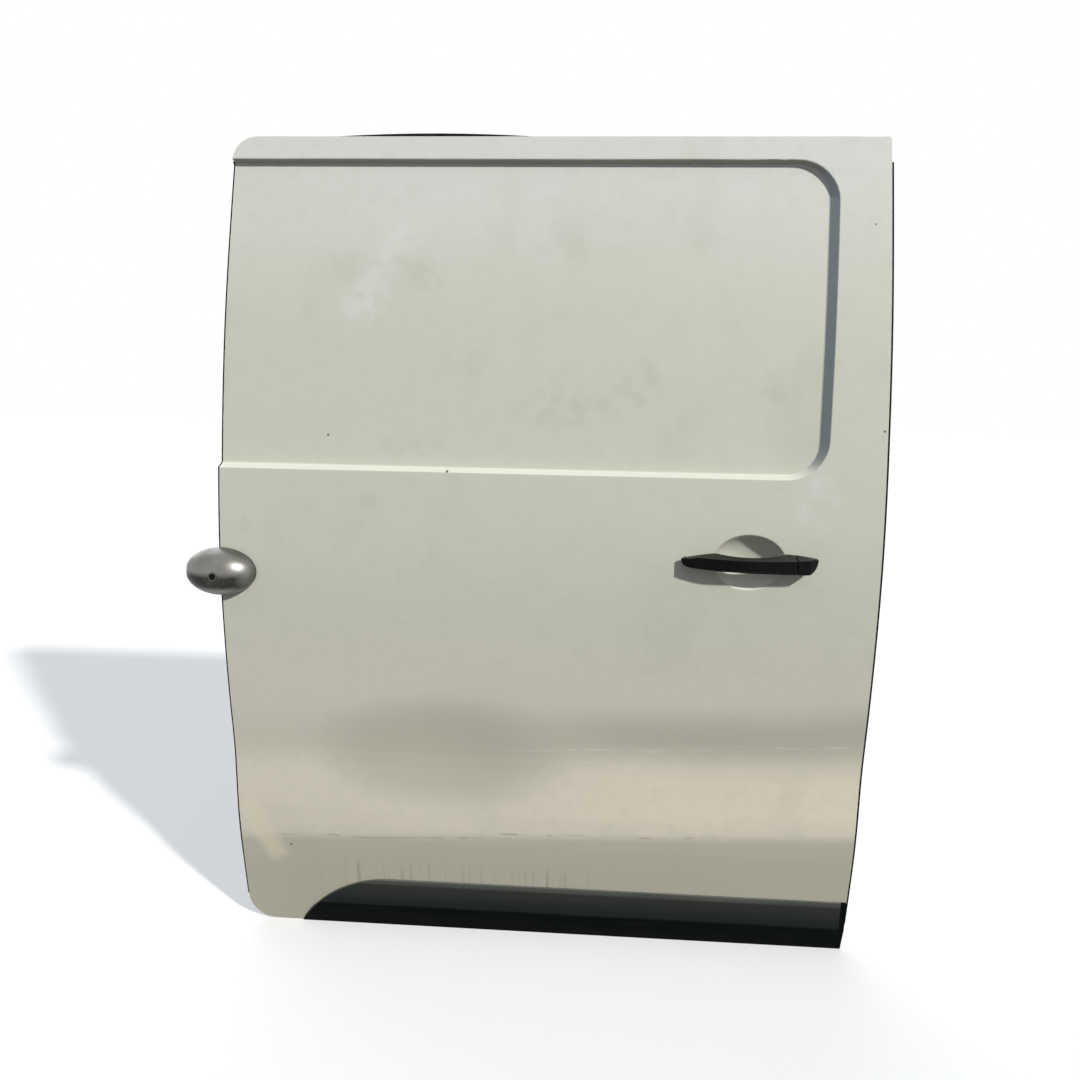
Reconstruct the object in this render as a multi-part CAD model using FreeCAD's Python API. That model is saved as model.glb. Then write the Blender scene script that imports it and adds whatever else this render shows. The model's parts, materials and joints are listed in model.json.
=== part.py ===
import FreeCAD, Part
import math
import os
from FreeCAD import Matrix, Vector

# Sliding side door of a panel van, left as it comes off its rails.
# While it is modelled, X runs from the rear edge to the front edge, with 0 at mid-width,
# Y runs inwards, with 0 at the outermost point of the skin, and Z runs up from the bottom edge.
# At the end every piece is moved so that the origin lies on the hinge pad's flat face.

# Door outline
DOOR_WIDTH = 1130.0
DOOR_HEIGHT = 1458.0
REAR_TOP_RADIUS = 42.0
FRONT_TOP_RADIUS = 5.0
FRONT_BOTTOM_RADIUS = 8.0
REAR_BOTTOM_RADIUS = 52.0

# Barrel section of the skin: a height, and how far the skin lies behind its outermost point there.
# A soft hollow runs along the door above the lower crease. The stations over the waist, where the door
# is at its widest, are drawn for one height and stretched with the door's own.
TOP_INSET = 126.0
TOP_LEAN = 0.285
BOTTOM_INSET = 93.5
BOTTOM_LEAN = 0.225
SECTION_ABOVE_BOTTOM = [
    (120.0, 67.2),
    (218.0, 47.9),
    (256.0, 44.2),
    (372.0, 37.4),
    (432.0, 28.0),
    (605.0, 6.5),
]
WAIST_Z = 750.0
SECTION_ABOVE_WAIST = [
    (0.0, 0.0),
    (215.0, 16.6),
    (395.0, 45.6),
    (575.0, 89.5),
]
SECTION_DRAWN_HEIGHT = 708.0
SECTION_EXTRA_LENGTH = 90.0

# Sheet metal, thicker than the real 0.8 mm so that it holds as a solid
SHEET = 1.5
HEM_DEPTH = 4.0
HEM_WIDTH = 11.0
SEAT_GAP = 0.25
TOUCH_GAP = 0.05

# Window blank pressed into the upper skin, open at the rear edge
BLANK_DEPTH = 16.0
BLANK_TOP_MARGIN = 40.0
BLANK_TOP_RUN = 4.7
BLANK_BOTTOM = 888.0
BLANK_BOTTOM_RUN = 6.6
BLANK_FRONT_MARGIN = 89.0
BLANK_FRONT_RUN = 14.5
BLANK_FRONT_SLANT = 12.0
BLANK_TOP_CORNER = 69.0
BLANK_BOTTOM_CORNER = 68.0
BLANK_CORNER_DRAFT = 14.0
BLANK_RIM_ROUND = 3.0
BLANK_FOOT_ROUND = 5.0
BLANK_OUTLINE_STATIONS = 9

# Inner panel: a lower pressing, two window posts and a header
DOOR_DEPTH = 62.0
JAMB_INSET = 22.0
APERTURE_BOTTOM = 935.0
APERTURE_TOP_MARGIN = 88.0
APERTURE_SIDE_MARGIN = 96.0
APERTURE_RADIUS = 60.0
APERTURE_LIP = 14.0
POST_LAP = 12.0
ACCESS_HOLE_LENGTH = 120.0
ACCESS_HOLE_HEIGHT = 44.0
ACCESS_HOLE_Z = 135.0
ACCESS_HOLE_PITCH = 210.0

# Stiffeners bonded to the skin
BELT_RAIL_Z = 850.0
BELT_RAIL_HEIGHT = 46.0
BELT_RAIL_DEPTH = 30.0
BRACE_WIDTH = 46.0
BRACE_DEPTH = 15.0
BRACE_X = 180.0
BRACE_FLANGE = 12.0

# Exterior pull handle
HANDLE_Z = 748.0
HANDLE_FROM_FRONT = 106.0
HANDLE_LENGTH = 227.0
HANDLE_CAP_LENGTH = 37.0
HANDLE_SEAM = 1.4
HANDLE_REACH = 38.0
HANDLE_GRIP_THICKNESS = 15.0
HANDLE_FACE_HEIGHT = 22.0
HANDLE_FACE_DROP = 2.0
HANDLE_SHOULDER_HEIGHT = 9.0
HANDLE_TOP_RISE = 10.5
HANDLE_LIFT = 2.6
HANDLE_SCOOP_LENGTH = 122.0
HANDLE_LOWER_CHAMFER = 6.0
HANDLE_ROOT = 4.0

# Handle ends in the front view: setbacks from its tips and heights over its lower edge
NOSE_LIFT = 1.0
NOSE_SETBACK = 4.0
NOSE_HEIGHT = 9.0
CHIN_SETBACK = 18.0
KEEL_BOW = 0.6
HEEL_SETBACK = 12.0
HEEL_HEIGHT = 6.5
TAIL_SETBACK = 2.0
TAIL_HEIGHT = 12.0
TAIL_DROP = 3.0

# Handle ends seen from above: how proud the tips are, and where the bow starts and ends
REAR_TIP_PROUD = 11.0
REAR_KNEE_SETBACK = 14.0
REAR_KNEE_DROP = 12.0
REAR_TIP_LIFT = 3.4
FRONT_TIP_PROUD = 12.0
FRONT_KNEE_SETBACK = 16.0
FRONT_KNEE_DROP = 8.0

# Handle mechanism
PIVOT_FROM_REAR = 16.0
PIVOT_Y = 14.0
PIVOT_RADIUS = 3.0
PIVOT_CLEARANCE = 0.06
EYE_RADIUS = 7.0
EYE_HEIGHT = 10.0
EYE_STEM_INSET = 2.0
EYE_SIDE_GAP = 0.5
EYE_HOLE_ROOM = 1.0
EYE_SWING_ROOM = 5.0
PIN_OVERHANG = 1.0
PULL_LEG_THICKNESS = 6.0
PULL_LEG_HEIGHT = 14.0
PULL_LEG_DEPTH = 28.0
PULL_LEG_FROM_SEAM = 2.5
LEG_CLEARANCE = 3.0
CARRIER_SHEET = 2.5
CARRIER_HEIGHT = 50.0
CARRIER_FOOT = 16.0
CARRIER_BEHIND_BOWL = 3.0
GASKET_THICKNESS = 2.0
GASKET_INSET = 1.5
GASKET_CORNER = 2.5

# Finger bowl pressed into the skin behind the handle
BOWL_OFF_MIDDLE = 1.0
BOWL_WIDTH = 122.0
BOWL_HEIGHT = 94.0
BOWL_DEPTH = 32.0
BOWL_RIM_ROUND = 3.0

# Oval security lock over the rear edge
LOCK_FROM_REAR = 1.5
LOCK_Z = 707.0
LOCK_LENGTH = 125.0
LOCK_HEIGHT = 84.0
LOCK_SINK = 1.0
LOCK_END_CUT = 2.5
LOCK_END_TILT = 15.0
LOCK_PLATE = 3.0
LOCK_PLATE_INSET = 4.0
LOCK_PLATE_SETBACK = 1.0
PLUG_BEHIND_MIDDLE = 0.3
PLUG_DROP = 2.5
PLUG_RADIUS = 5.5
PLUG_CLEARANCE = 0.15
PLUG_DEPTH = 14.0
PLUG_END_GAP = 0.5
RING_WALL = 2.0
RING_PROUD = 1.0
RING_FLOOR = 1.5
SOCKET_FROM_SEAL = 6.0
SOCKET_LENGTH = 26.0
SOCKET_HEIGHT = 40.0
SOCKET_DEPTH = 18.0

# Lower cladding, a thin moulding
CLADDING_TOP = 105.0
CLADDING_RIDGE = 50.0
CLADDING_RIDGE_PROUD = 12.0
CLADDING_RIM = 3.0
CLADDING_RIM_ROUND = 3.0
CLADDING_SHOULDER = 1.0
CLADDING_WALL = 2.5
CLADDING_FROM_REAR = 103.0
CLADDING_SWEEP = 177.0
CLADDING_END_GAP = 1.0

# Seals
EDGE_SEAL_PROUD = 5.0
EDGE_SEAL_GRIP = 6.0
EDGE_SEAL_DEPTH = 8.0
TOP_SEAL_PROUD = 1.0
TOP_SEAL_RISE = 7.0
TOP_SEAL_BOW_FROM_REAR = 173.0
TOP_SEAL_BOW_LENGTH = 364.0

# Hinge pad, where the centre carriage bolts on
PAD_FROM_REAR = 74.0
PAD_Z = 750.0
PAD_WIDTH = 70.0
PAD_HEIGHT = 110.0
PAD_THICKNESS = 6.0
PAD_HOLE_RADIUS = 4.5
PAD_HOLE_SPACING_X = 40.0
PAD_HOLE_SPACING_Z = 76.0

# Roller arms
ARM_PLATE = 4.0
ARM_SHOULDER = 6.0
ARM_BRACKET_HEIGHT = 46.0
UPPER_ARM_FROM_FRONT = 75.0
UPPER_ARM_UNDER_TOP = 54.0
UPPER_ARM_REACH = 92.0
UPPER_BRACKET_WIDTH = 90.0
UPPER_ROLLER_RADIUS = 14.0
UPPER_ROLLER_HEIGHT = 16.0
LOWER_ARM_FROM_FRONT = 160.0
LOWER_ARM_Z = 84.0
LOWER_ARM_REACH = 120.0
LOWER_BRACKET_WIDTH = 110.0
GUIDE_ROLLER_RADIUS = 13.0
GUIDE_ROLLER_HEIGHT = 16.0
GUIDE_ROLLER_SPACING = 56.0
LOAD_ROLLER_RADIUS = 20.0
LOAD_ROLLER_WIDTH = 14.0
ROLLER_PIN_RADIUS = 5.0
ROLLER_PIN_OVERHANG = 2.0
ROLLER_CLEARANCE = 0.1
ROLLER_SIDE_GAP = 0.5
ROLLER_OVERHANG = 2.0

# Latches in the jambs
LATCH_WIDTH = 34.0
LATCH_HEIGHT = 96.0
LATCH_DEPTH = 40.0
LATCH_FROM_SKIN = 14.0
LATCH_PROUD = 4.0
FRONT_LATCH_Z = 700.0
REAR_LATCH_Z = 560.0
STRIKER_SLOT_HEIGHT = 18.0
STRIKER_SLOT_DEPTH = 24.0
STRIKER_SLOT_WIDTH = 22.0
CLAW_THICKNESS = 5.0
CLAW_RADIUS = 14.4
CLAW_BACK = 14.4
CLAW_NOTCH_RADIUS = 6.5
CLAW_NOTCH_DROP = 5.8
CLAW_PIN = 3.0
CLAW_PIN_CLEARANCE = 0.1
CLAW_GROOVE_GAP = 0.5

# Small jamb fittings
WEDGE_HEIGHT = 64.0
WEDGE_DEPTH = 30.0
WEDGE_PROUD = 15.0
WEDGE_NOSE = 6.0
WEDGE_UPPER_Z = 1130.0
WEDGE_LOWER_Z = 330.0
BUFFER_RADIUS = 14.0
BUFFER_TIP_RADIUS = 10.0
BUFFER_PROUD = 13.0
BUFFER_UPPER_Z = 1090.0
BUFFER_LOWER_Z = 300.0
CONTACT_Z = 520.0
CONTACT_HEIGHT = 70.0
CONTACT_DEPTH = 26.0
CONTACT_PROUD = 7.0
CONTACT_BUTTON_RADIUS = 5.2
CONTACT_BUTTON_PITCH = 17.5

# Lining and inside handle
LINING_TOP = 890.0
LINING_BOTTOM = 185.0
LINING_SHEET = 3.0
LINING_RADIUS = 40.0
LINING_SIDE_MARGIN = 60.0
LINING_FROM_PAD = 12.0
LINING_FIELD_MARGIN = 55.0
LINING_FIELD_RISE = 4.0
BEZEL_FROM_FRONT = 165.0
BEZEL_Z = 770.0
BEZEL_LENGTH = 120.0
BEZEL_HEIGHT = 74.0
BEZEL_RISE = 14.0
BEZEL_WALL = 8.0
BEZEL_RADIUS = 20.0
LEVER_LENGTH = 84.0
LEVER_GAP = 8.0
LEVER_THICKNESS = 7.0

# Places that follow from the sizes above
REAR_EDGE = -DOOR_WIDTH / 2
FRONT_EDGE = DOOR_WIDTH / 2
BLANK_TOP = DOOR_HEIGHT - BLANK_TOP_MARGIN
BLANK_FRONT = FRONT_EDGE - BLANK_FRONT_MARGIN
APERTURE_TOP = DOOR_HEIGHT - APERTURE_TOP_MARGIN
HANDLE_FRONT_X = FRONT_EDGE - HANDLE_FROM_FRONT
HANDLE_REAR_X = HANDLE_FRONT_X - HANDLE_LENGTH
HANDLE_SEAM_X = HANDLE_FRONT_X - HANDLE_CAP_LENGTH
HANDLE_MIDDLE_X = (HANDLE_REAR_X + HANDLE_FRONT_X) / 2
PIVOT_X = HANDLE_REAR_X + PIVOT_FROM_REAR
BOWL_X = HANDLE_MIDDLE_X + BOWL_OFF_MIDDLE
LOCK_X = REAR_EDGE + LOCK_FROM_REAR
PLUG_X = LOCK_X - PLUG_BEHIND_MIDDLE
PLUG_Z = LOCK_Z - PLUG_DROP
CLADDING_TIP_X = REAR_EDGE + CLADDING_FROM_REAR
CLADDING_FULL_X = CLADDING_TIP_X + CLADDING_SWEEP
UPPER_ARM_Z = DOOR_HEIGHT - UPPER_ARM_UNDER_TOP
BEZEL_X = FRONT_EDGE - BEZEL_FROM_FRONT
LONG_REACH = 400.0
UP = Vector(0, 0, 1)
INWARD = Vector(0, 1, 0)
TRIM_MARGIN = 30.0


# The barrel section as one smooth curve in the YZ plane
def section_stations():
    extra = SECTION_EXTRA_LENGTH
    below = (-extra, BOTTOM_INSET + extra * BOTTOM_LEAN)
    above = (DOOR_HEIGHT + extra, TOP_INSET + extra * TOP_LEAN)
    stretch = (DOOR_HEIGHT - WAIST_Z) / SECTION_DRAWN_HEIGHT
    upper = [(WAIST_Z + rise * stretch, inset) for rise, inset in SECTION_ABOVE_WAIST]
    return [below, (0.0, BOTTOM_INSET)] + SECTION_ABOVE_BOTTOM + upper + [(DOOR_HEIGHT, TOP_INSET), above]


SECTION = Part.BSplineCurve()
SECTION.interpolate([Vector(0, inset, height) for height, inset in section_stations()])


def section_parameter(height):
    low = SECTION.FirstParameter
    high = SECTION.LastParameter
    for _ in range(60):
        middle = (low + high) / 2
        if SECTION.value(middle).z < height:
            low = middle
        else:
            high = middle
    return (low + high) / 2


def skin_y(height):
    return SECTION.value(section_parameter(height)).y


def section_edge(bottom, top):
    return SECTION.toShape(section_parameter(bottom), section_parameter(top))


def moved(shape, x=0.0, y=0.0, z=0.0):
    copy = shape.copy()
    copy.translate(Vector(x, y, z))
    return copy


def box(x0, x1, y0, y1, z0, z1):
    return Part.makeBox(x1 - x0, y1 - y0, z1 - z0, Vector(x0, y0, z0))


def cylinder(radius, start, direction, length):
    return Part.makeCylinder(radius, length, start, direction)


# Closed wire through corner points, each rounded by its own radius
def rounded_wire(corners):
    count = len(corners)
    edges = []
    ends = []
    for i, (point, radius) in enumerate(corners):
        before = (corners[i - 1][0] - point).normalize()
        after = (corners[(i + 1) % count][0] - point).normalize()
        if radius <= 0:
            ends.append((point, None, point))
            continue
        half = before.getAngle(after) / 2
        run = radius / math.tan(half)
        middle_direction = (before + after).normalize()
        centre = point + middle_direction * (radius / math.sin(half))
        ends.append((point + before * run, centre - middle_direction * radius, point + after * run))
    for i, (start, middle, end) in enumerate(ends):
        if middle is not None:
            edges.append(Part.Arc(start, middle, end).toShape())
        following = ends[(i + 1) % count][0]
        if end.distanceToPoint(following) > 1e-6:
            edges.append(Part.LineSegment(end, following).toShape())
    return Part.Wire(edges)


def prism_along_y(wire):
    return moved(Part.Face(wire), y=-LONG_REACH).extrude(Vector(0, 3 * LONG_REACH, 0))


def rounded_rectangle(x0, x1, z0, z1, radius):
    corners = [Vector(x0, 0, z0), Vector(x1, 0, z0), Vector(x1, 0, z1), Vector(x0, 0, z1)]
    return rounded_wire([(corner, radius) for corner in corners])


# The door's outline drawn in by a margin, as a prism across the door
def outline_prism(margin):
    x0 = REAR_EDGE + margin
    x1 = FRONT_EDGE - margin
    z0 = margin
    z1 = DOOR_HEIGHT - margin

    def drawn_in(radius):
        return max(radius - margin, min(radius, FRONT_TOP_RADIUS))

    return prism_along_y(rounded_wire([
        (Vector(x0, 0, z0), drawn_in(REAR_BOTTOM_RADIUS)),
        (Vector(x1, 0, z0), drawn_in(FRONT_BOTTOM_RADIUS)),
        (Vector(x1, 0, z1), drawn_in(FRONT_TOP_RADIUS)),
        (Vector(x0, 0, z1), drawn_in(REAR_TOP_RADIUS)),
    ]))


# A layer of the door between two depths behind the skin, cut level at both ends
def layer(near, far, x0, x1, z0, z1):
    front = moved(section_edge(z0, z1), y=near)
    back = moved(section_edge(z0, z1), y=far)
    low = Part.LineSegment(Vector(0, skin_y(z0) + near, z0), Vector(0, skin_y(z0) + far, z0))
    high = Part.LineSegment(Vector(0, skin_y(z1) + near, z1), Vector(0, skin_y(z1) + far, z1))
    wire = Part.Wire(Part.__sortEdges__([front, back, low.toShape(), high.toShape()]))
    return moved(Part.Face(wire), x=x0).extrude(Vector(x1 - x0, 0, 0))


def full_layer(near, far, margin=TRIM_MARGIN):
    return layer(near, far, REAR_EDGE - margin, FRONT_EDGE + margin, -margin, DOOR_HEIGHT + margin)


# A level outline carried up the section, so that its walls follow the barrel
def swept_outline(points, bottom, top):
    rail = section_edge(bottom, top)
    faces = []
    for i, (x, y) in enumerate(points):
        next_x, next_y = points[(i + 1) % len(points)]
        faces.append(moved(rail, x, y).extrude(Vector(next_x - x, next_y - y, 0)))
    for height in (bottom, top):
        corners = [Vector(x, y + skin_y(height), height) for x, y in points]
        faces.append(Part.Face(Part.makePolygon(corners + corners[:1])))
    shell = Part.Shell(faces)
    shell.sewShape()
    solid = Part.Solid(shell)
    if solid.Volume < 0:
        solid.reverse()
    return solid


# A closed outline in the YZ plane, drawn out along X
def prism_along_x(points, x0, x1):
    corners = [Vector(x0, y, z) for y, z in points]
    return Part.Face(Part.makePolygon(corners + corners[:1])).extrude(Vector(x1 - x0, 0, 0))


# A closed outline in the XY plane, drawn out along Z
def prism_along_z(points, z0, z1):
    corners = [Vector(x, y, z0) for x, y in points]
    return Part.Face(Part.makePolygon(corners + corners[:1])).extrude(Vector(0, 0, z1 - z0))


def fused(shapes):
    result = shapes[0].multiFuse(shapes[1:])
    return result.removeSplitter()


def cut_all(shape, tools):
    for tool in tools:
        shape = shape.cut(tool)
    return shape


# An edge drawn in the front view, laid on the barrel at a depth behind the skin
def on_barrel(edge, depth):
    ends = [edge.valueAt(edge.FirstParameter), edge.valueAt(edge.LastParameter)]
    level = abs(ends[0].z - ends[1].z) < TOUCH_GAP
    stations = ends if level else edge.discretize(BLANK_OUTLINE_STATIONS)
    laid = [Vector(point.x, skin_y(point.z) + depth, point.z) for point in stations]
    if level:
        return Part.LineSegment(*laid).toShape()
    curve = Part.BSplineCurve()
    curve.interpolate(laid)
    return curve.toShape()


# The blank's outline at a depth: it draws in towards the foot of the walls, and its corners tighten
def blank_outline(depth):
    share = depth / BLANK_DEPTH
    low = BLANK_BOTTOM + BLANK_BOTTOM_RUN * share
    high = BLANK_TOP - BLANK_TOP_RUN * share
    front = BLANK_FRONT - BLANK_FRONT_RUN * share
    half_slant = BLANK_FRONT_SLANT / 2
    rear = REAR_EDGE - 4 * TRIM_MARGIN
    draft = BLANK_CORNER_DRAFT * share
    wire = rounded_wire([
        (Vector(rear, 0, low), 0),
        (Vector(front - half_slant, 0, low), BLANK_BOTTOM_CORNER - draft),
        (Vector(front + half_slant, 0, high), BLANK_TOP_CORNER - draft),
        (Vector(rear, 0, high), 0),
    ])
    return [on_barrel(edge, depth) for edge in wire.Edges[:-1]]


# Pressing tool of the window blank: straight draft from an outline before the skin to one behind the foot
def blank_tool():
    beyond = 1.5 * BLANK_DEPTH
    pairs = zip(blank_outline(-beyond), blank_outline(beyond))
    walls = Part.Shell([Part.makeRuledSurface(outer, inner) for outer, inner in pairs])
    walls.sewShape()
    slab = full_layer(-BLANK_DEPTH, BLANK_DEPTH, 2 * TRIM_MARGIN)
    pieces = slab.generalFuse([walls])[0]
    height = (BLANK_BOTTOM + BLANK_TOP) / 2
    middle = Vector(0, skin_y(height), height)
    return [piece for piece in pieces.Solids if piece.isInside(middle, TOUCH_GAP, True)][0]


# The edges of the blank at a depth: its rim at 0, the foot of its walls at the blank's depth
def blank_edges(shape, depth):
    found = []
    for edge in shape.Edges:
        middle = edge.valueAt((edge.FirstParameter + edge.LastParameter) / 2)
        size = edge.BoundBox
        in_blank = BLANK_BOTTOM - 1 < middle.z < BLANK_TOP + 1 and REAR_EDGE < size.XMax < FRONT_EDGE
        at_depth = abs(middle.y - skin_y(middle.z) - depth) < 4 * TOUCH_GAP
        if in_blank and at_depth and size.XLength + size.ZLength > 2 * BLANK_DEPTH:
            found.append(edge)
    return found


# Pressing tool of the finger bowl: an ellipse turned about a level line in front of the skin
def bowl_tool():
    half_height = BOWL_HEIGHT / 2
    radius = (half_height ** 2 + BOWL_DEPTH ** 2) / (2 * BOWL_DEPTH)
    stand_off = radius - BOWL_DEPTH
    half_length = BOWL_WIDTH / 2 / math.sqrt(1 - (stand_off / radius) ** 2)
    centre = Vector(BOWL_X, skin_y(HANDLE_Z) - stand_off, HANDLE_Z)
    return spheroid_cap(centre, half_length, radius, 1, stand_off / 2)


def bowl_rim(shape):
    around = box(BOWL_X - BOWL_WIDTH, BOWL_X + BOWL_WIDTH, -LONG_REACH, BOWL_DEPTH / 2,
                 HANDLE_Z - BOWL_HEIGHT, HANDLE_Z + BOWL_HEIGHT).BoundBox
    return [edge for edge in shape.Edges if around.isInside(edge.BoundBox)]


# Cap of a long round form: a ball drawn out along X, kept from a distance off its middle,
# with its crown outwards for a side of -1 or inwards for a side of 1
def spheroid_cap(centre, half_length, radius, side, off_middle):
    ball = Part.makeSphere(radius)
    ball.rotate(Vector(0, 0, 0), UP, -90 * side)
    stretch = Matrix()
    stretch.scale(half_length / radius, 1, 1)
    ball = moved(ball.transformGeometry(stretch), centre.x, centre.y, centre.z)
    reach = half_length + radius
    ends = sorted((centre.y + side * off_middle, centre.y + side * reach))
    return ball.common(box(centre.x - reach, centre.x + reach, ends[0], ends[1],
                           centre.z - reach, centre.z + reach))


# Everything behind the pressed skin, reaching past the outline on all sides
def pressed_volume():
    block = full_layer(0, 3 * DOOR_DEPTH, 2 * TRIM_MARGIN).cut(blank_tool())
    block = block.makeFillet(BLANK_FOOT_ROUND, blank_edges(block, BLANK_DEPTH))
    block = block.makeFillet(BLANK_RIM_ROUND, blank_edges(block, 0))
    block = block.cut(bowl_tool())
    return block.makeFillet(BOWL_RIM_ROUND, bowl_rim(block))


PRESSED = pressed_volume()


# A layer of even depth behind the pressed skin, inside a prism
def pressed_layer(near, far, prism):
    return moved(PRESSED, y=near).common(prism).cut(moved(PRESSED, y=far))


def ring_prism(outer_margin, inner_margin):
    return outline_prism(outer_margin).cut(outline_prism(inner_margin))


# Places along the pull handle
PULL_LEG_OUTER = HANDLE_SEAM_X - PULL_LEG_FROM_SEAM - PIVOT_X
PULL_LEG_INNER = PULL_LEG_OUTER - PULL_LEG_THICKNESS
EYE_LEG_HALF = EYE_RADIUS - EYE_STEM_INSET
PIVOT = Vector(PIVOT_X, PIVOT_Y, HANDLE_Z)


def eye_hole():
    half_height = EYE_HEIGHT / 2 + EYE_HOLE_ROOM
    half_length = EYE_LEG_HALF + EYE_SWING_ROOM
    return box(PIVOT_X - half_length, PIVOT_X + half_length, -GASKET_THICKNESS - SHEET, PIVOT_Y,
               HANDLE_Z - half_height, HANDLE_Z + half_height)


def pull_leg_hole(depth):
    half_height = PULL_LEG_HEIGHT / 2 + LEG_CLEARANCE
    return box(PIVOT_X + PULL_LEG_INNER - LEG_CLEARANCE, PIVOT_X + PULL_LEG_OUTER + LEG_CLEARANCE / 2,
               -SHEET, depth, HANDLE_Z - half_height, HANDLE_Z + half_height)


def outer_skin():
    sheet = pressed_layer(0, SHEET, outline_prism(0))
    hem = pressed_layer(0, HEM_DEPTH, ring_prism(0, HEM_WIDTH))
    skin = fused([sheet, hem])
    return cut_all(skin, [eye_hole(), pull_leg_hole(PIVOT_Y)])


PANEL_SEAT = HEM_DEPTH + SEAT_GAP
JAMB_FRONT = FRONT_EDGE - JAMB_INSET
JAMB_REAR = REAR_EDGE + JAMB_INSET


def aperture_prism(margin):
    x0 = REAR_EDGE + APERTURE_SIDE_MARGIN - margin
    x1 = FRONT_EDGE - APERTURE_SIDE_MARGIN + margin
    return prism_along_y(rounded_rectangle(x0, x1, APERTURE_BOTTOM - margin, APERTURE_TOP + margin,
                                           APERTURE_RADIUS + margin))


PAD_X = REAR_EDGE + PAD_FROM_REAR
PAD_FACE_Y = skin_y(PAD_Z) + DOOR_DEPTH + PAD_THICKNESS
ORIGIN = Vector(PAD_X, PAD_FACE_Y, PAD_Z)


def pad_holes():
    holes = []
    for x in (-PAD_HOLE_SPACING_X / 2, PAD_HOLE_SPACING_X / 2):
        for z in (-PAD_HOLE_SPACING_Z / 2, PAD_HOLE_SPACING_Z / 2):
            start = Vector(PAD_X + x, PAD_FACE_Y - DOOR_DEPTH / 2, PAD_Z + z)
            holes.append(cylinder(PAD_HOLE_RADIUS, start, Vector(0, 1, 0), DOOR_DEPTH))
    return holes


# Latches, one in each jamb
LATCHES = [(1, FRONT_LATCH_Z), (-1, REAR_LATCH_Z)]


def jamb_x(side):
    return JAMB_FRONT if side > 0 else JAMB_REAR


def side_box(side, depth, proud, y0, y1, z0, z1):
    ends = sorted((jamb_x(side) - side * depth, jamb_x(side) + side * proud))
    return box(ends[0], ends[1], y0, y1, z0, z1)


def latch_case(side, height, room):
    y0 = skin_y(height) + LATCH_FROM_SKIN
    half = LATCH_HEIGHT / 2 + room
    return side_box(side, LATCH_WIDTH + room, LATCH_PROUD + room, y0 - room, y0 + LATCH_DEPTH + room,
                    height - half, height + half)


# Row of oblong access holes through the panel's face, below the lining
def access_holes():
    half_length = ACCESS_HOLE_LENGTH / 2
    half_height = ACCESS_HOLE_HEIGHT / 2
    holes = []
    for step in (-1, 0, 1):
        x = step * ACCESS_HOLE_PITCH - ACCESS_HOLE_PITCH / 2
        wire = rounded_rectangle(x - half_length, x + half_length, ACCESS_HOLE_Z - half_height,
                                 ACCESS_HOLE_Z + half_height, half_height - SEAT_GAP)
        holes.append(prism_along_y(wire).common(full_layer(DOOR_DEPTH / 2, 2 * DOOR_DEPTH)))
    return holes


# The whole inner shell: flange behind the hem, jambs all round, and a face with a lipped aperture
def inner_shell():
    flange = pressed_layer(PANEL_SEAT, PANEL_SEAT + SHEET, ring_prism(SHEET, JAMB_INSET + SHEET))
    jambs = full_layer(0, DOOR_DEPTH).common(ring_prism(JAMB_INSET, JAMB_INSET + SHEET))
    jambs = jambs.common(moved(PRESSED, y=PANEL_SEAT))
    face = full_layer(DOOR_DEPTH - SHEET, DOOR_DEPTH).common(outline_prism(JAMB_INSET))
    lip_ring = aperture_prism(SHEET).cut(aperture_prism(0))
    lip = full_layer(DOOR_DEPTH - APERTURE_LIP, DOOR_DEPTH).common(lip_ring)
    shell = fused([flange, jambs, face.cut(aperture_prism(0)), lip])
    latch_cuts = [latch_case(side, height, SEAT_GAP) for side, height in LATCHES]
    return cut_all(shell, pad_holes() + latch_cuts + access_holes())


# The shell is welded up from four pressings, which meet beside the aperture's corners
def post_region(side, room):
    corner = DOOR_WIDTH / 2 - APERTURE_SIDE_MARGIN - APERTURE_RADIUS
    ends = sorted((side * (corner - room), side * DOOR_WIDTH))
    lap = POST_LAP + room
    return box(ends[0], ends[1], -LONG_REACH, LONG_REACH, APERTURE_BOTTOM - lap, APERTURE_TOP + lap)


INNER_SHELL = inner_shell()


def window_post(side):
    return INNER_SHELL.common(post_region(side, 0))


def between_posts(bottom, top):
    part = INNER_SHELL.common(box(-DOOR_WIDTH, DOOR_WIDTH, -LONG_REACH, LONG_REACH, bottom, top))
    return cut_all(part, [post_region(-1, SEAT_GAP), post_region(1, SEAT_GAP)])


APERTURE_MIDDLE = (APERTURE_BOTTOM + APERTURE_TOP) / 2


def inner_panel():
    return between_posts(-TRIM_MARGIN, APERTURE_MIDDLE)


def window_header():
    return between_posts(APERTURE_MIDDLE, DOOR_HEIGHT + TRIM_MARGIN)


def belt_rail():
    half = BELT_RAIL_HEIGHT / 2
    near = SHEET + SEAT_GAP
    x0 = JAMB_REAR + 2 * BRACE_FLANGE
    x1 = JAMB_FRONT - 2 * BRACE_FLANGE
    low = BELT_RAIL_Z - half
    high = BELT_RAIL_Z + half
    crown = layer(near, near + BELT_RAIL_DEPTH, x0, x1, low, high)
    hollow = layer(0, near + BELT_RAIL_DEPTH - SHEET, x0 - SHEET, x1 + SHEET, low + SHEET, high - SHEET)
    flange = layer(near, near + SHEET, x0, x1, low - BRACE_FLANGE, high + BRACE_FLANGE)
    return fused([crown, flange]).cut(hollow)


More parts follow.
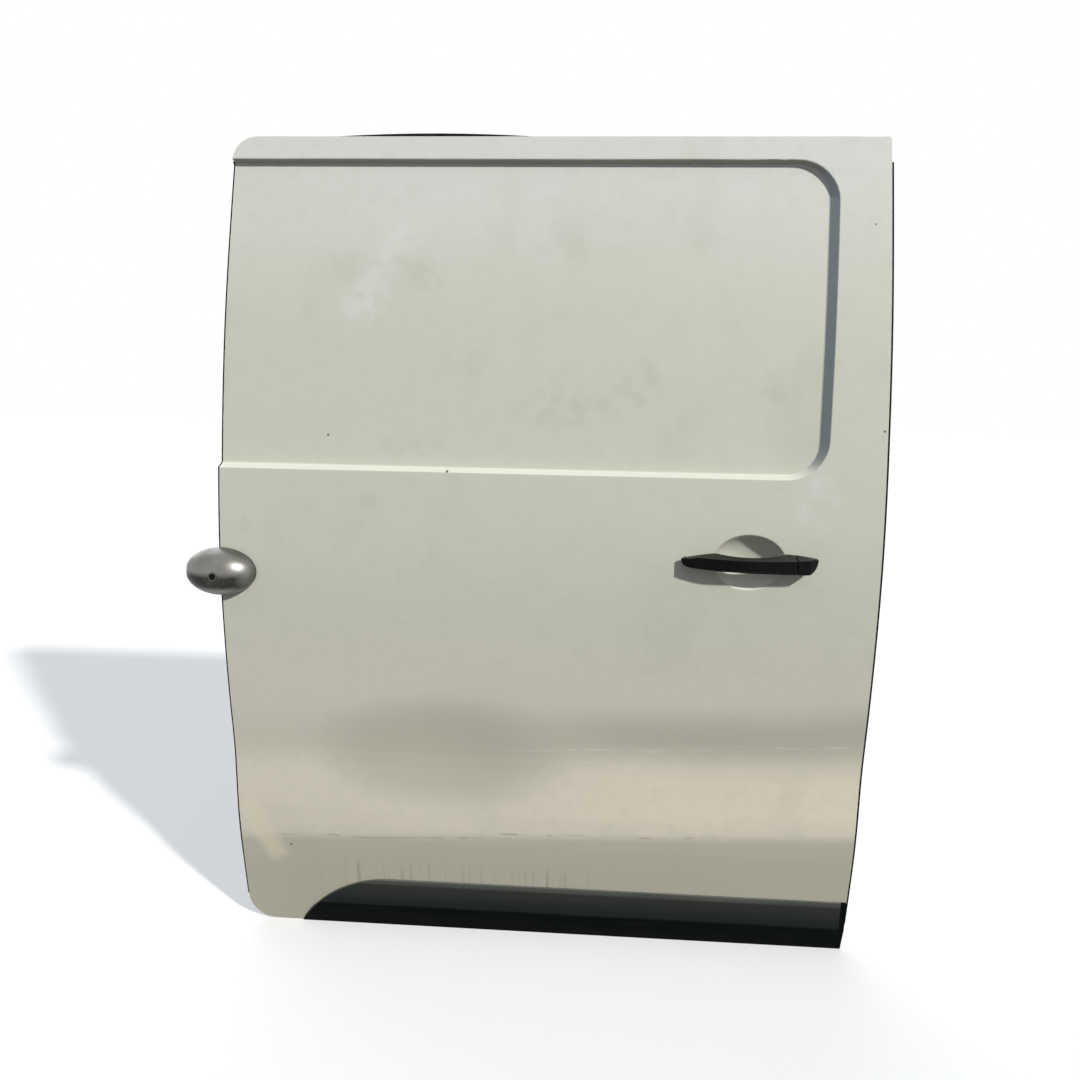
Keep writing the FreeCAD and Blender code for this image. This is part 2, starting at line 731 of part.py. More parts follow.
def panel_brace(centre_x):
    near = BLANK_DEPTH + SHEET + SEAT_GAP
    low = BLANK_BOTTOM + BLANK_BOTTOM_RUN + BRACE_FLANGE
    high = BLANK_TOP - BLANK_TOP_RUN - BRACE_FLANGE
    half = BRACE_WIDTH / 2
    wide = half + BRACE_FLANGE
    crown = layer(near, near + BRACE_DEPTH, centre_x - half, centre_x + half, low, high)
    inside = half - SHEET
    crown_back = near + BRACE_DEPTH - SHEET
    hollow = layer(0, crown_back, centre_x - inside, centre_x + inside, low - SHEET, high + SHEET)
    flange = layer(near, near + SHEET, centre_x - wide, centre_x + wide, low, high)
    return fused([crown, flange]).cut(hollow)


# Pull handle: one boat-shaped form, split at a seam into the moving bar and the fixed cap
HANDLE_FACE_TOP = HANDLE_Z + HANDLE_FACE_HEIGHT / 2 - HANDLE_FACE_DROP
HANDLE_FACE_BOTTOM = HANDLE_FACE_TOP - HANDLE_FACE_HEIGHT


def handle_front_view():
    top = HANDLE_FACE_TOP
    bottom = HANDLE_FACE_BOTTOM
    rear = Vector(HANDLE_REAR_X, 0, top - TAIL_DROP)
    front = Vector(HANDLE_FRONT_X, 0, top + NOSE_LIFT)
    crown = Vector(HANDLE_MIDDLE_X, 0, top + HANDLE_TOP_RISE)
    chin = Vector(HANDLE_FRONT_X - CHIN_SETBACK, 0, bottom)
    heel = Vector(HANDLE_REAR_X + HEEL_SETBACK, 0, bottom + HEEL_HEIGHT)
    nose_bend = Vector(HANDLE_FRONT_X - NOSE_SETBACK, 0, bottom + NOSE_HEIGHT)
    keel_bend = Vector(HANDLE_MIDDLE_X, 0, bottom + KEEL_BOW)
    tail_bend = Vector(HANDLE_REAR_X + TAIL_SETBACK, 0, bottom + TAIL_HEIGHT)
    arcs = [(rear, crown, front), (front, nose_bend, chin), (chin, keel_bend, heel), (heel, tail_bend, rear)]
    return prism_along_y(Part.Wire([Part.Arc(*points).toShape() for points in arcs]))


def handle_form(inner_points):
    rear_tip = Vector(HANDLE_REAR_X, -REAR_TIP_PROUD, 0)
    rear_knee = Vector(HANDLE_REAR_X + REAR_KNEE_SETBACK, -HANDLE_REACH + REAR_KNEE_DROP, 0)
    crest = Vector(HANDLE_MIDDLE_X, -HANDLE_REACH, 0)
    front_knee = Vector(HANDLE_FRONT_X - FRONT_KNEE_SETBACK, -HANDLE_REACH + FRONT_KNEE_DROP, 0)
    front_tip = Vector(HANDLE_FRONT_X, -FRONT_TIP_PROUD, 0)
    bow = Part.Arc(rear_knee, crest, front_knee).toShape()
    inside = [Vector(x, y, 0) for x, y in inner_points]
    straight = [front_knee, front_tip] + inside + [rear_tip, rear_knee]
    lines = [Part.LineSegment(a, b).toShape() for a, b in zip(straight, straight[1:])]
    plan = Part.Face(Part.Wire([bow] + lines))
    plan = moved(plan, z=HANDLE_Z - LONG_REACH).extrude(Vector(0, 0, 2 * LONG_REACH))

    slope = HANDLE_SHOULDER_HEIGHT / HANDLE_REACH
    side = prism_along_x([
        (-2 * HANDLE_REACH, HANDLE_FACE_TOP - slope * HANDLE_REACH),
        (HANDLE_REACH, HANDLE_FACE_TOP + 2 * slope * HANDLE_REACH),
        (HANDLE_REACH, HANDLE_FACE_BOTTOM),
        (-HANDLE_REACH + HANDLE_LOWER_CHAMFER, HANDLE_FACE_BOTTOM),
        (-2 * HANDLE_REACH, HANDLE_FACE_BOTTOM + HANDLE_REACH),
    ], HANDLE_REAR_X - TRIM_MARGIN, HANDLE_FRONT_X + TRIM_MARGIN)
    return handle_front_view().common(plan).common(side)


def scoop():
    ends_y = -GASKET_THICKNESS - HANDLE_LIFT
    depth = HANDLE_REACH - HANDLE_GRIP_THICKNESS + ends_y
    half = HANDLE_SCOOP_LENGTH / 2
    radius = (half ** 2 + depth ** 2) / (2 * depth)
    centre = Vector(BOWL_X, ends_y - depth + radius, HANDLE_Z - LONG_REACH / 2)
    return cylinder(radius, centre, UP, LONG_REACH)


def handle_bar():
    under = -GASKET_THICKNESS - HANDLE_LIFT
    blank = handle_form([(HANDLE_FRONT_X, under), (PIVOT_X, under), (HANDLE_REAR_X, under - REAR_TIP_LIFT)])
    blank = blank.cut(scoop())
    end = HANDLE_SEAM_X - HANDLE_SEAM / 2
    bar = blank.common(box(HANDLE_REAR_X - 1, end, -LONG_REACH, LONG_REACH, 0, DOOR_HEIGHT))
    half_eye = EYE_HEIGHT / 2
    eye_start = PIVOT - UP * half_eye
    eye = cylinder(EYE_RADIUS, eye_start, UP, EYE_HEIGHT)
    stem = box(PIVOT_X - EYE_LEG_HALF, PIVOT_X + EYE_LEG_HALF, under - HANDLE_ROOT / 2, PIVOT_Y,
               HANDLE_Z - half_eye, HANDLE_Z + half_eye)
    bore = cylinder(PIVOT_RADIUS + PIVOT_CLEARANCE, eye_start - UP, UP, EYE_HEIGHT + 2)
    return fused([bar, stem, eye, pull_leg()]).cut(bore)


# The pull leg is a ring sector about the pivot, so it slides through its hole on its own line
def pull_leg():
    half_height = PULL_LEG_HEIGHT / 2
    inner = Vector(PIVOT_X + PULL_LEG_INNER, PIVOT_Y, HANDLE_Z - half_height)
    across = Vector(PULL_LEG_THICKNESS, 0, 0)
    tall = Vector(0, 0, PULL_LEG_HEIGHT)
    corners = [inner, inner + across, inner + across + tall, inner + tall, inner]
    blade = Part.Face(Part.makePolygon(corners))
    middle = (PULL_LEG_INNER + PULL_LEG_OUTER) / 2
    root = -math.degrees(math.asin((PIVOT_Y + GASKET_THICKNESS + HANDLE_LIFT + HANDLE_ROOT) / middle))
    tip = math.degrees(math.asin(PULL_LEG_DEPTH / middle))
    blade.rotate(PIVOT, UP, root)
    return blade.revolve(PIVOT, UP, tip - root)


def handle_cap():
    form = handle_form([(HANDLE_FRONT_X, -SEAT_GAP), (HANDLE_REAR_X, -SEAT_GAP)])
    start = HANDLE_SEAM_X + HANDLE_SEAM / 2
    return form.common(box(start, HANDLE_FRONT_X + 1, -LONG_REACH, LONG_REACH, 0, DOOR_HEIGHT))


def handle_gasket():
    start = PIVOT_X - EYE_LEG_HALF - EYE_SWING_ROOM - GASKET_INSET
    end = BOWL_X - HANDLE_SCOOP_LENGTH / 2 - GASKET_INSET
    half_height = EYE_HEIGHT / 2 + EYE_HOLE_ROOM + GASKET_INSET
    outline = rounded_rectangle(start, end, HANDLE_Z - half_height, HANDLE_Z + half_height, GASKET_CORNER)
    return full_layer(-GASKET_THICKNESS, -TOUCH_GAP).common(prism_along_y(outline)).cut(eye_hole())


def handle_carrier():
    skin = SHEET + SEAT_GAP
    plate_y = BOWL_DEPTH + SHEET + CARRIER_BEHIND_BOWL
    half = CARRIER_HEIGHT / 2
    low = HANDLE_Z - half
    high = HANDLE_Z + half
    start = PIVOT_X - EYE_RADIUS - 2 * CARRIER_FOOT
    end = HANDLE_FRONT_X + CARRIER_FOOT
    plate = box(start, end, plate_y, plate_y + CARRIER_SHEET, low, high)
    feet = layer(skin, plate_y + CARRIER_SHEET, start, start + CARRIER_FOOT, low, high)
    front_feet = layer(skin, plate_y + CARRIER_SHEET, end - CARRIER_FOOT, end, low, high)
    gap = EYE_HEIGHT / 2 + EYE_SIDE_GAP
    ears = []
    for z in (HANDLE_Z - gap - CARRIER_SHEET, HANDLE_Z + gap):
        ears.append(box(PIVOT_X - EYE_RADIUS, PIVOT_X + EYE_RADIUS, PIVOT_Y - EYE_RADIUS,
                        plate_y + CARRIER_SHEET, z, z + CARRIER_SHEET))
    carrier = fused([plate, feet, front_feet] + ears)
    pin_hole = cylinder(PIVOT_RADIUS, PIVOT - UP * LONG_REACH / 2, UP, LONG_REACH)
    window = box(PIVOT_X - EYE_RADIUS, PIVOT_X + EYE_RADIUS, 0, plate_y + 2 * CARRIER_SHEET,
                 HANDLE_Z - gap, HANDLE_Z + gap)
    return cut_all(carrier, [pin_hole, pull_leg_hole(DOOR_DEPTH), window])


def handle_pivot_pin():
    half = EYE_HEIGHT / 2 + EYE_SIDE_GAP + CARRIER_SHEET + PIN_OVERHANG
    return cylinder(PIVOT_RADIUS - PIVOT_CLEARANCE / 2, PIVOT - UP * half, UP, 2 * half)


# Oval lock
LOCK_BASE_Y = -LOCK_PLATE


def dome_y(x, z):
    across = (x - LOCK_X) / (LOCK_LENGTH / 2)
    tall = (z - LOCK_Z) / (LOCK_HEIGHT / 2)
    return LOCK_BASE_Y + LOCK_SINK - LOCK_HEIGHT / 2 * math.sqrt(1 - across ** 2 - tall ** 2)


RING_FRONT_Y = dome_y(PLUG_X, PLUG_Z) - RING_PROUD
RING_RADIUS = PLUG_RADIUS + PLUG_CLEARANCE + RING_WALL


def lock_body():
    centre = Vector(LOCK_X, LOCK_BASE_Y + LOCK_SINK, LOCK_Z)
    dome = spheroid_cap(centre, LOCK_LENGTH / 2, LOCK_HEIGHT / 2, -1, LOCK_SINK)
    ring_seat = cylinder(RING_RADIUS + TOUCH_GAP, Vector(PLUG_X, RING_FRONT_Y - 1, PLUG_Z), INWARD,
                         PLUG_DEPTH + 2)
    return cut_all(dome, [ring_seat, lock_socket(), lock_end_cut()])


# The lock's rear tip is cut to a small leaning flat
def lock_end_cut():
    start = LOCK_X - LOCK_LENGTH / 2 + LOCK_END_CUT
    reach = LOCK_HEIGHT
    block = box(start - reach, start, LOCK_BASE_Y - reach, LOCK_BASE_Y + reach,
                LOCK_Z - reach, LOCK_Z + reach)
    block.rotate(Vector(start, LOCK_BASE_Y, LOCK_Z), UP, LOCK_END_TILT)
    return block


SOCKET_END_X = REAR_EDGE - EDGE_SEAL_PROUD - SOCKET_FROM_SEAL


def lock_socket():
    end = SOCKET_END_X
    return box(end - SOCKET_LENGTH, end, LOCK_BASE_Y - SOCKET_DEPTH, LOCK_BASE_Y + 1,
               LOCK_Z - SOCKET_HEIGHT / 2, LOCK_Z + SOCKET_HEIGHT / 2)


def lock_base_plate():
    half_length = LOCK_LENGTH / 2 - LOCK_PLATE_INSET
    half_height = LOCK_HEIGHT / 2 - LOCK_PLATE_INSET
    centre = Vector(LOCK_X, 0, LOCK_Z)
    oval = Part.Ellipse(centre + Vector(half_length, 0, 0), centre + Vector(0, 0, half_height), centre)
    outline = prism_along_y(Part.Wire([oval.toShape()]))
    plate = layer(-3 * LOCK_PLATE, -SEAT_GAP, REAR_EDGE + LOCK_PLATE_SETBACK, LOCK_X + LOCK_LENGTH,
                  LOCK_Z - LOCK_HEIGHT, LOCK_Z + LOCK_HEIGHT)
    in_front = box(REAR_EDGE - LOCK_LENGTH, LOCK_X + LOCK_LENGTH, LOCK_BASE_Y + SEAT_GAP, LONG_REACH,
                   0, DOOR_HEIGHT)
    return plate.common(outline).common(in_front)


def lock_cylinder_ring():
    start = Vector(PLUG_X, RING_FRONT_Y, PLUG_Z)
    outer = cylinder(RING_RADIUS, start, INWARD, PLUG_DEPTH)
    inner = cylinder(PLUG_RADIUS + PLUG_CLEARANCE, start, INWARD, PLUG_DEPTH - RING_FLOOR)
    return outer.cut(inner)


def lock_plug():
    start = Vector(PLUG_X, RING_FRONT_Y + RING_PROUD, PLUG_Z)
    return cylinder(PLUG_RADIUS, start, INWARD, PLUG_DEPTH - RING_PROUD - RING_FLOOR - PLUG_END_GAP)


# Lower cladding: a ridged strip along the bottom edge with a swept-up rear end
def cladding_outline():
    span = CLADDING_FULL_X - CLADDING_TIP_X
    radius = (span ** 2 + CLADDING_TOP ** 2) / (2 * CLADDING_TOP)
    half_turn = math.atan2(span, radius - CLADDING_TOP) / 2
    tip = Vector(CLADDING_TIP_X, 0, 0)
    middle = Vector(CLADDING_FULL_X - radius * math.sin(half_turn), 0,
                    CLADDING_TOP - radius + radius * math.cos(half_turn))
    full = Vector(CLADDING_FULL_X, 0, CLADDING_TOP)
    end_top = Vector(FRONT_EDGE - CLADDING_END_GAP, 0, CLADDING_TOP)
    end_bottom = Vector(FRONT_EDGE - CLADDING_END_GAP, 0, 0)
    edges = [Part.Arc(tip, middle, full).toShape()]
    for a, b in ((full, end_top), (end_top, end_bottom), (end_bottom, tip)):
        edges.append(Part.LineSegment(a, b).toShape())
    return prism_along_y(Part.Wire(edges))


# Side view of the cladding, drawn in by a wall thickness
def cladding_profile(wall, x0, x1):
    ridge_y = skin_y(CLADDING_RIDGE) - CLADDING_RIDGE_PROUD
    rim_y = skin_y(CLADDING_TOP) - CLADDING_RIM
    rounding = CLADDING_RIM_ROUND
    return prism_along_x([
        (LONG_REACH, CLADDING_TOP - wall),
        (rim_y + wall, CLADDING_TOP - wall),
        (rim_y - CLADDING_SHOULDER + wall, CLADDING_TOP - wall - rounding),
        (ridge_y + wall, CLADDING_RIDGE),
        (skin_y(0) - CLADDING_RIM + wall, wall),
        (LONG_REACH, wall),
    ], x0, x1)


def sill_cladding():
    front = FRONT_EDGE + TRIM_MARGIN
    solid = full_layer(-4 * CLADDING_RIDGE_PROUD, -SEAT_GAP)
    solid = solid.common(cladding_profile(0, CLADDING_TIP_X - TRIM_MARGIN, front)).common(cladding_outline())
    inside_end = FRONT_EDGE - CLADDING_END_GAP - CLADDING_WALL
    return solid.cut(cladding_profile(CLADDING_WALL, CLADDING_FULL_X, inside_end))


# Seals
def edge_seal(edge_x, side):
    near = PANEL_SEAT + SHEET + SEAT_GAP
    tip = edge_x + side * EDGE_SEAL_PROUD
    root = edge_x - side * EDGE_SEAL_GRIP
    ends = sorted((tip, root))
    low = REAR_BOTTOM_RADIUS
    high = DOOR_HEIGHT - REAR_TOP_RADIUS
    strip = box(ends[0], ends[1], -LONG_REACH, LONG_REACH, low, high)
    return pressed_layer(near, near + EDGE_SEAL_DEPTH, strip)


def top_edge_seal():
    near = PANEL_SEAT + SHEET + SEAT_GAP
    low = DOOR_HEIGHT - EDGE_SEAL_GRIP
    rim = DOOR_HEIGHT + TOP_SEAL_PROUD
    x0 = REAR_EDGE + REAR_TOP_RADIUS
    x1 = FRONT_EDGE - FRONT_TOP_RADIUS
    bow_x = REAR_EDGE + TOP_SEAL_BOW_FROM_REAR
    start = Vector(bow_x, 0, rim)
    end = Vector(bow_x + TOP_SEAL_BOW_LENGTH, 0, rim)
    peak = Vector(bow_x + TOP_SEAL_BOW_LENGTH / 2, 0, DOOR_HEIGHT + TOP_SEAL_RISE)
    bow = Part.Arc(start, peak, end).toShape()
    corners = [end, Vector(x1, 0, rim), Vector(x1, 0, low), Vector(x0, 0, low), Vector(x0, 0, rim), start]
    lines = [Part.LineSegment(a, b).toShape() for a, b in zip(corners, corners[1:])]
    outline = prism_along_y(Part.Wire([bow] + lines))
    return full_layer(near, near + EDGE_SEAL_DEPTH).common(outline)


def hinge_pad():
    block = layer(DOOR_DEPTH + TOUCH_GAP, DOOR_DEPTH + 3 * PAD_THICKNESS, PAD_X - PAD_WIDTH / 2,
                  PAD_X + PAD_WIDTH / 2, PAD_Z - PAD_HEIGHT / 2, PAD_Z + PAD_HEIGHT / 2)
    flat = box(PAD_X - PAD_WIDTH, PAD_X + PAD_WIDTH, -LONG_REACH, PAD_FACE_Y, 0, DOOR_HEIGHT)
    return cut_all(block.common(flat), pad_holes())


# Latches
def claw_pivot(side, height):
    y = skin_y(height) + LATCH_FROM_SKIN + LATCH_DEPTH / 2
    return Vector(jamb_x(side) - side * CLAW_BACK, y, height + STRIKER_SLOT_HEIGHT)


def striker_slot(side, height):
    middle = skin_y(height) + LATCH_FROM_SKIN + LATCH_DEPTH / 2
    half = STRIKER_SLOT_HEIGHT / 2
    return side_box(side, STRIKER_SLOT_DEPTH, LATCH_PROUD + 1, middle - STRIKER_SLOT_WIDTH / 2,
                    middle + STRIKER_SLOT_WIDTH / 2, height - half, height + half)


def latch(side, height):
    pivot = claw_pivot(side, height)
    groove_width = CLAW_THICKNESS + 2 * CLAW_GROOVE_GAP
    groove_start = pivot - INWARD * groove_width / 2
    groove = cylinder(CLAW_RADIUS + 2 * CLAW_GROOVE_GAP, groove_start, INWARD, groove_width)
    case = cut_all(latch_case(side, height, 0), [striker_slot(side, height), groove])
    pin = cylinder(CLAW_PIN, pivot - INWARD * CLAW_THICKNESS, INWARD, 2 * CLAW_THICKNESS)
    return fused([case, pin])


def latch_claw(side, height):
    pivot = claw_pivot(side, height)
    start = pivot - INWARD * CLAW_THICKNESS / 2
    disc = cylinder(CLAW_RADIUS, start, INWARD, CLAW_THICKNESS)
    bore = cylinder(CLAW_PIN + CLAW_PIN_CLEARANCE, start, INWARD, CLAW_THICKNESS)
    mouth = start + Vector(side * CLAW_RADIUS, 0, -CLAW_NOTCH_DROP)
    notch = cylinder(CLAW_NOTCH_RADIUS, mouth, INWARD, CLAW_THICKNESS)
    return cut_all(disc, [bore, notch])


# Small fittings on the jambs
def guide_wedge(height):
    x0 = JAMB_FRONT + SEAT_GAP
    nose = WEDGE_NOSE
    half = WEDGE_HEIGHT / 2
    y0 = skin_y(height) + DOOR_DEPTH / 2 - WEDGE_DEPTH / 2
    corners = [Vector(x0, y0, height - half), Vector(x0 + WEDGE_PROUD, y0, height - half + nose),
               Vector(x0 + WEDGE_PROUD, y0, height + half - nose), Vector(x0, y0, height + half)]
    return Part.Face(Part.makePolygon(corners + corners[:1])).extrude(Vector(0, WEDGE_DEPTH, 0))


# A buffer sits halfway between the flange behind the blank and the panel's face
def buffer(height):
    flange_back = BLANK_DEPTH + PANEL_SEAT + SHEET
    start = Vector(JAMB_REAR - SEAT_GAP, skin_y(height) + (flange_back + DOOR_DEPTH) / 2, height)
    return Part.makeCone(BUFFER_RADIUS, BUFFER_TIP_RADIUS, BUFFER_PROUD, start, Vector(-1, 0, 0))


def contact_plate():
    middle = skin_y(CONTACT_Z) + DOOR_DEPTH / 2
    x0 = JAMB_FRONT + SEAT_GAP
    plate = box(x0, x0 + CONTACT_PROUD / 2, middle - CONTACT_DEPTH / 2, middle + CONTACT_DEPTH / 2,
                CONTACT_Z - CONTACT_HEIGHT / 2, CONTACT_Z + CONTACT_HEIGHT / 2)
    buttons = []
    for step in (-1, 0, 1):
        start = Vector(x0, middle, CONTACT_Z + step * CONTACT_BUTTON_PITCH)
        buttons.append(cylinder(CONTACT_BUTTON_RADIUS, start, Vector(1, 0, 0), CONTACT_PROUD))
    return fused([plate] + buttons)


# Roller arms
UPPER_ARM_X = FRONT_EDGE - UPPER_ARM_FROM_FRONT
LOWER_ARM_X = FRONT_EDGE - LOWER_ARM_FROM_FRONT


def arm_bracket(x, height, width):
    half = ARM_BRACKET_HEIGHT / 2
    return layer(DOOR_DEPTH + TOUCH_GAP, DOOR_DEPTH + ARM_PLATE, x - width / 2, x + width / 2,
                 height - half, height + half)


def arm_root_y(height):
    return skin_y(height) + DOOR_DEPTH + ARM_PLATE / 2


def arm_tongue(x, height, reach, root_half, end_half):
    root_y = arm_root_y(height)
    return prism_along_z([
        (x - root_half, root_y),
        (x + root_half, root_y),
        (x + end_half, root_y + reach),
        (x - end_half, root_y + reach),
    ], height, height + ARM_PLATE)


def roller_place(height, reach, radius):
    return arm_root_y(height) + reach - radius - ROLLER_OVERHANG


# A pin that starts inside the plate and ends past its roller
def roller_pin(seat, direction, roller_length):
    length = roller_length + ROLLER_SIDE_GAP + ROLLER_PIN_OVERHANG + ARM_PLATE / 2
    return cylinder(ROLLER_PIN_RADIUS, seat - direction * ARM_PLATE / 2, direction, length)


def roller_ring(radius, length, seat, direction):
    start = seat + direction * ROLLER_SIDE_GAP
    outer = cylinder(radius, start, direction, length)
    return outer.cut(cylinder(ROLLER_PIN_RADIUS + ROLLER_CLEARANCE, start, direction, length))


UPPER_ROLLER_SEAT = Vector(UPPER_ARM_X, roller_place(UPPER_ARM_Z, UPPER_ARM_REACH, UPPER_ROLLER_RADIUS),
                           UPPER_ARM_Z + ARM_PLATE)


def upper_arm():
    tongue = arm_tongue(UPPER_ARM_X, UPPER_ARM_Z, UPPER_ARM_REACH, UPPER_BRACKET_WIDTH / 2 - ARM_SHOULDER,
                        UPPER_ROLLER_RADIUS + ROLLER_OVERHANG)
    pin = roller_pin(UPPER_ROLLER_SEAT, UP, UPPER_ROLLER_HEIGHT)
    return fused([arm_bracket(UPPER_ARM_X, UPPER_ARM_Z, UPPER_BRACKET_WIDTH), tongue, pin])


def upper_roller():
    return roller_ring(UPPER_ROLLER_RADIUS, UPPER_ROLLER_HEIGHT, UPPER_ROLLER_SEAT, UP)


LOWER_END_HALF = GUIDE_ROLLER_SPACING / 2 + GUIDE_ROLLER_RADIUS + ROLLER_OVERHANG
LOWER_END_Y = arm_root_y(LOWER_ARM_Z) + LOWER_ARM_REACH
LOAD_ROLLER_SEAT = Vector(LOWER_ARM_X, LOWER_END_Y, LOWER_ARM_Z - LOAD_ROLLER_RADIUS + ARM_PLATE)


def guide_roller_seat(side):
    return Vector(LOWER_ARM_X + side * GUIDE_ROLLER_SPACING / 2,
                  roller_place(LOWER_ARM_Z, LOWER_ARM_REACH, GUIDE_ROLLER_RADIUS), LOWER_ARM_Z + ARM_PLATE)


def lower_arm():
    pieces = [arm_bracket(LOWER_ARM_X, LOWER_ARM_Z, LOWER_BRACKET_WIDTH),
              arm_tongue(LOWER_ARM_X, LOWER_ARM_Z, LOWER_ARM_REACH, LOWER_BRACKET_WIDTH / 2 - ARM_SHOULDER,
                         LOWER_END_HALF)]
    tab_half = LOAD_ROLLER_RADIUS - ARM_SHOULDER
    pieces.append(box(LOWER_ARM_X - tab_half, LOWER_ARM_X + tab_half, LOWER_END_Y - ARM_PLATE, LOWER_END_Y,
                      LOAD_ROLLER_SEAT.z - tab_half, LOWER_ARM_Z + ARM_PLATE))
    pieces.append(roller_pin(LOAD_ROLLER_SEAT, INWARD, LOAD_ROLLER_WIDTH))
    for side in (-1, 1):
        pieces.append(roller_pin(guide_roller_seat(side), UP, GUIDE_ROLLER_HEIGHT))
    return fused(pieces)


def guide_roller(side):
    return roller_ring(GUIDE_ROLLER_RADIUS, GUIDE_ROLLER_HEIGHT, guide_roller_seat(side), UP)


def lower_load_roller():
    return roller_ring(LOAD_ROLLER_RADIUS, LOAD_ROLLER_WIDTH, LOAD_ROLLER_SEAT, INWARD)


# Lining and inside handle
LINING_X0 = PAD_X + PAD_WIDTH / 2 + LINING_FROM_PAD
LINING_X1 = FRONT_EDGE - LINING_SIDE_MARGIN
LINING_NEAR = DOOR_DEPTH + SEAT_GAP
BEZEL_NEAR = LINING_NEAR + LINING_SHEET + LINING_FIELD_RISE + SEAT_GAP


def lining_prism(margin):
    return prism_along_y(rounded_rectangle(LINING_X0 + margin, LINING_X1 - margin, LINING_BOTTOM + margin,
                                           LINING_TOP - margin, LINING_RADIUS))


# A card of even thickness whose middle field is pressed out into the cabin
def lining_panel():
    sheet = full_layer(LINING_NEAR, LINING_NEAR + LINING_SHEET).common(lining_prism(0))
    raised = full_layer(LINING_NEAR, LINING_NEAR + LINING_SHEET + LINING_FIELD_RISE)
    raised = raised.common(lining_prism(LINING_FIELD_MARGIN))
    hollow = full_layer(-TRIM_MARGIN, LINING_NEAR + LINING_FIELD_RISE)
    hollow = hollow.common(lining_prism(LINING_FIELD_MARGIN + LINING_SHEET))
    return fused([sheet, raised]).cut(hollow)


def inner_handle_bezel():
    half = BEZEL_LENGTH / 2
    tall = BEZEL_HEIGHT / 2
    outer = prism_along_y(rounded_rectangle(BEZEL_X - half, BEZEL_X + half, BEZEL_Z - tall, BEZEL_Z + tall,
                                            BEZEL_RADIUS))
    inside = prism_along_y(rounded_rectangle(BEZEL_X - half + BEZEL_WALL, BEZEL_X + half - BEZEL_WALL,
                                             BEZEL_Z - tall + BEZEL_WALL, BEZEL_Z + tall - BEZEL_WALL,
                                             BEZEL_RADIUS - BEZEL_WALL))
    rim = full_layer(BEZEL_NEAR, BEZEL_NEAR + BEZEL_RISE).common(outer)
    pocket = full_layer(BEZEL_NEAR + LINING_SHEET, BEZEL_NEAR + 2 * BEZEL_RISE).common(inside)
    return rim.cut(pocket)


def inner_handle_lever():
    half = LEVER_LENGTH / 2
    tall = BEZEL_HEIGHT / 2 - BEZEL_WALL - LEVER_GAP
    shape = prism_along_y(rounded_rectangle(BEZEL_X - half, BEZEL_X + half, BEZEL_Z - tall, BEZEL_Z + tall,
                                            BEZEL_RADIUS / 2))
    near = BEZEL_NEAR + LINING_SHEET + SEAT_GAP
    return full_layer(near, near + LEVER_THICKNESS).common(shape)


def all_pieces():
    return {
        "outer_skin": outer_skin(),
        "inner_panel": inner_panel(),
        "window_post_rear": window_post(-1),
        "window_post_front": window_post(1),
        "window_header": window_header(),
        "belt_rail": belt_rail(),
        "panel_brace_rear": panel_brace(-BRACE_X),
        "panel_brace_front": panel_brace(BRACE_X),
        "handle_bar": handle_bar(),
        "handle_cap": handle_cap(),
        "handle_gasket": handle_gasket(),
        "handle_carrier": handle_carrier(),
        "handle_pivot_pin": handle_pivot_pin(),
        "lock_body": lock_body(),
        "lock_base_plate": lock_base_plate(),
        "lock_cylinder_ring": lock_cylinder_ring(),
        "lock_plug": lock_plug(),
        "sill_cladding": sill_cladding(),
        "front_edge_seal": edge_seal(FRONT_EDGE, 1),
        "rear_edge_seal": edge_seal(REAR_EDGE, -1),
        "top_edge_seal": top_edge_seal(),
        "hinge_pad": hinge_pad(),
        "front_latch": latch(*LATCHES[0]),
        "front_latch_claw": latch_claw(*LATCHES[0]),
        "rear_latch": latch(*LATCHES[1]),
        "rear_latch_claw": latch_claw(*LATCHES[1]),
        "guide_wedge_upper": guide_wedge(WEDGE_UPPER_Z),
        "guide_wedge_lower": guide_wedge(WEDGE_LOWER_Z),
        "buffer_upper": buffer(BUFFER_UPPER_Z),
        "buffer_lower": buffer(BUFFER_LOWER_Z),
        "contact_plate": contact_plate(),
        "upper_arm": upper_arm(),
        "upper_roller": upper_roller(),
        "lower_arm": lower_arm(),
        "guide_roller_rear": guide_roller(-1),
        "guide_roller_front": guide_roller(1),
        "lower_load_roller": lower_load_roller(),
        "lining_panel": lining_panel(),
        "inner_handle_bezel": inner_handle_bezel(),
        "inner_handle_lever": inner_handle_lever(),
    }


os.makedirs("parts", exist_ok=True)
for name, shape in all_pieces().items():
    placed = moved(shape, -ORIGIN.x, -ORIGIN.y, -ORIGIN.z)
    solids = placed.Solids
    print(name, "solids", len(solids), "valid", placed.isValid(), "volume", round(placed.Volume))
    piece = solids[0] if len(solids) == 1 else Part.makeCompound(solids)
    piece.exportStep("parts/" + name + ".step")
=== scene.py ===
# %% [markdown]
# # The sliding side door of a panel van
# The door stands upright with its lowest edge at the floor, as it does after it comes off its rails.
# Its solids are loaded first and stay as a fixed frame, and everything else is placed by that frame.
# All lengths are metres: X runs from the rear edge to the front edge, Y runs inwards, and Z runs up.

# %% Load the door's solids
import json
import math

import bpy
from mathutils import Matrix, Vector


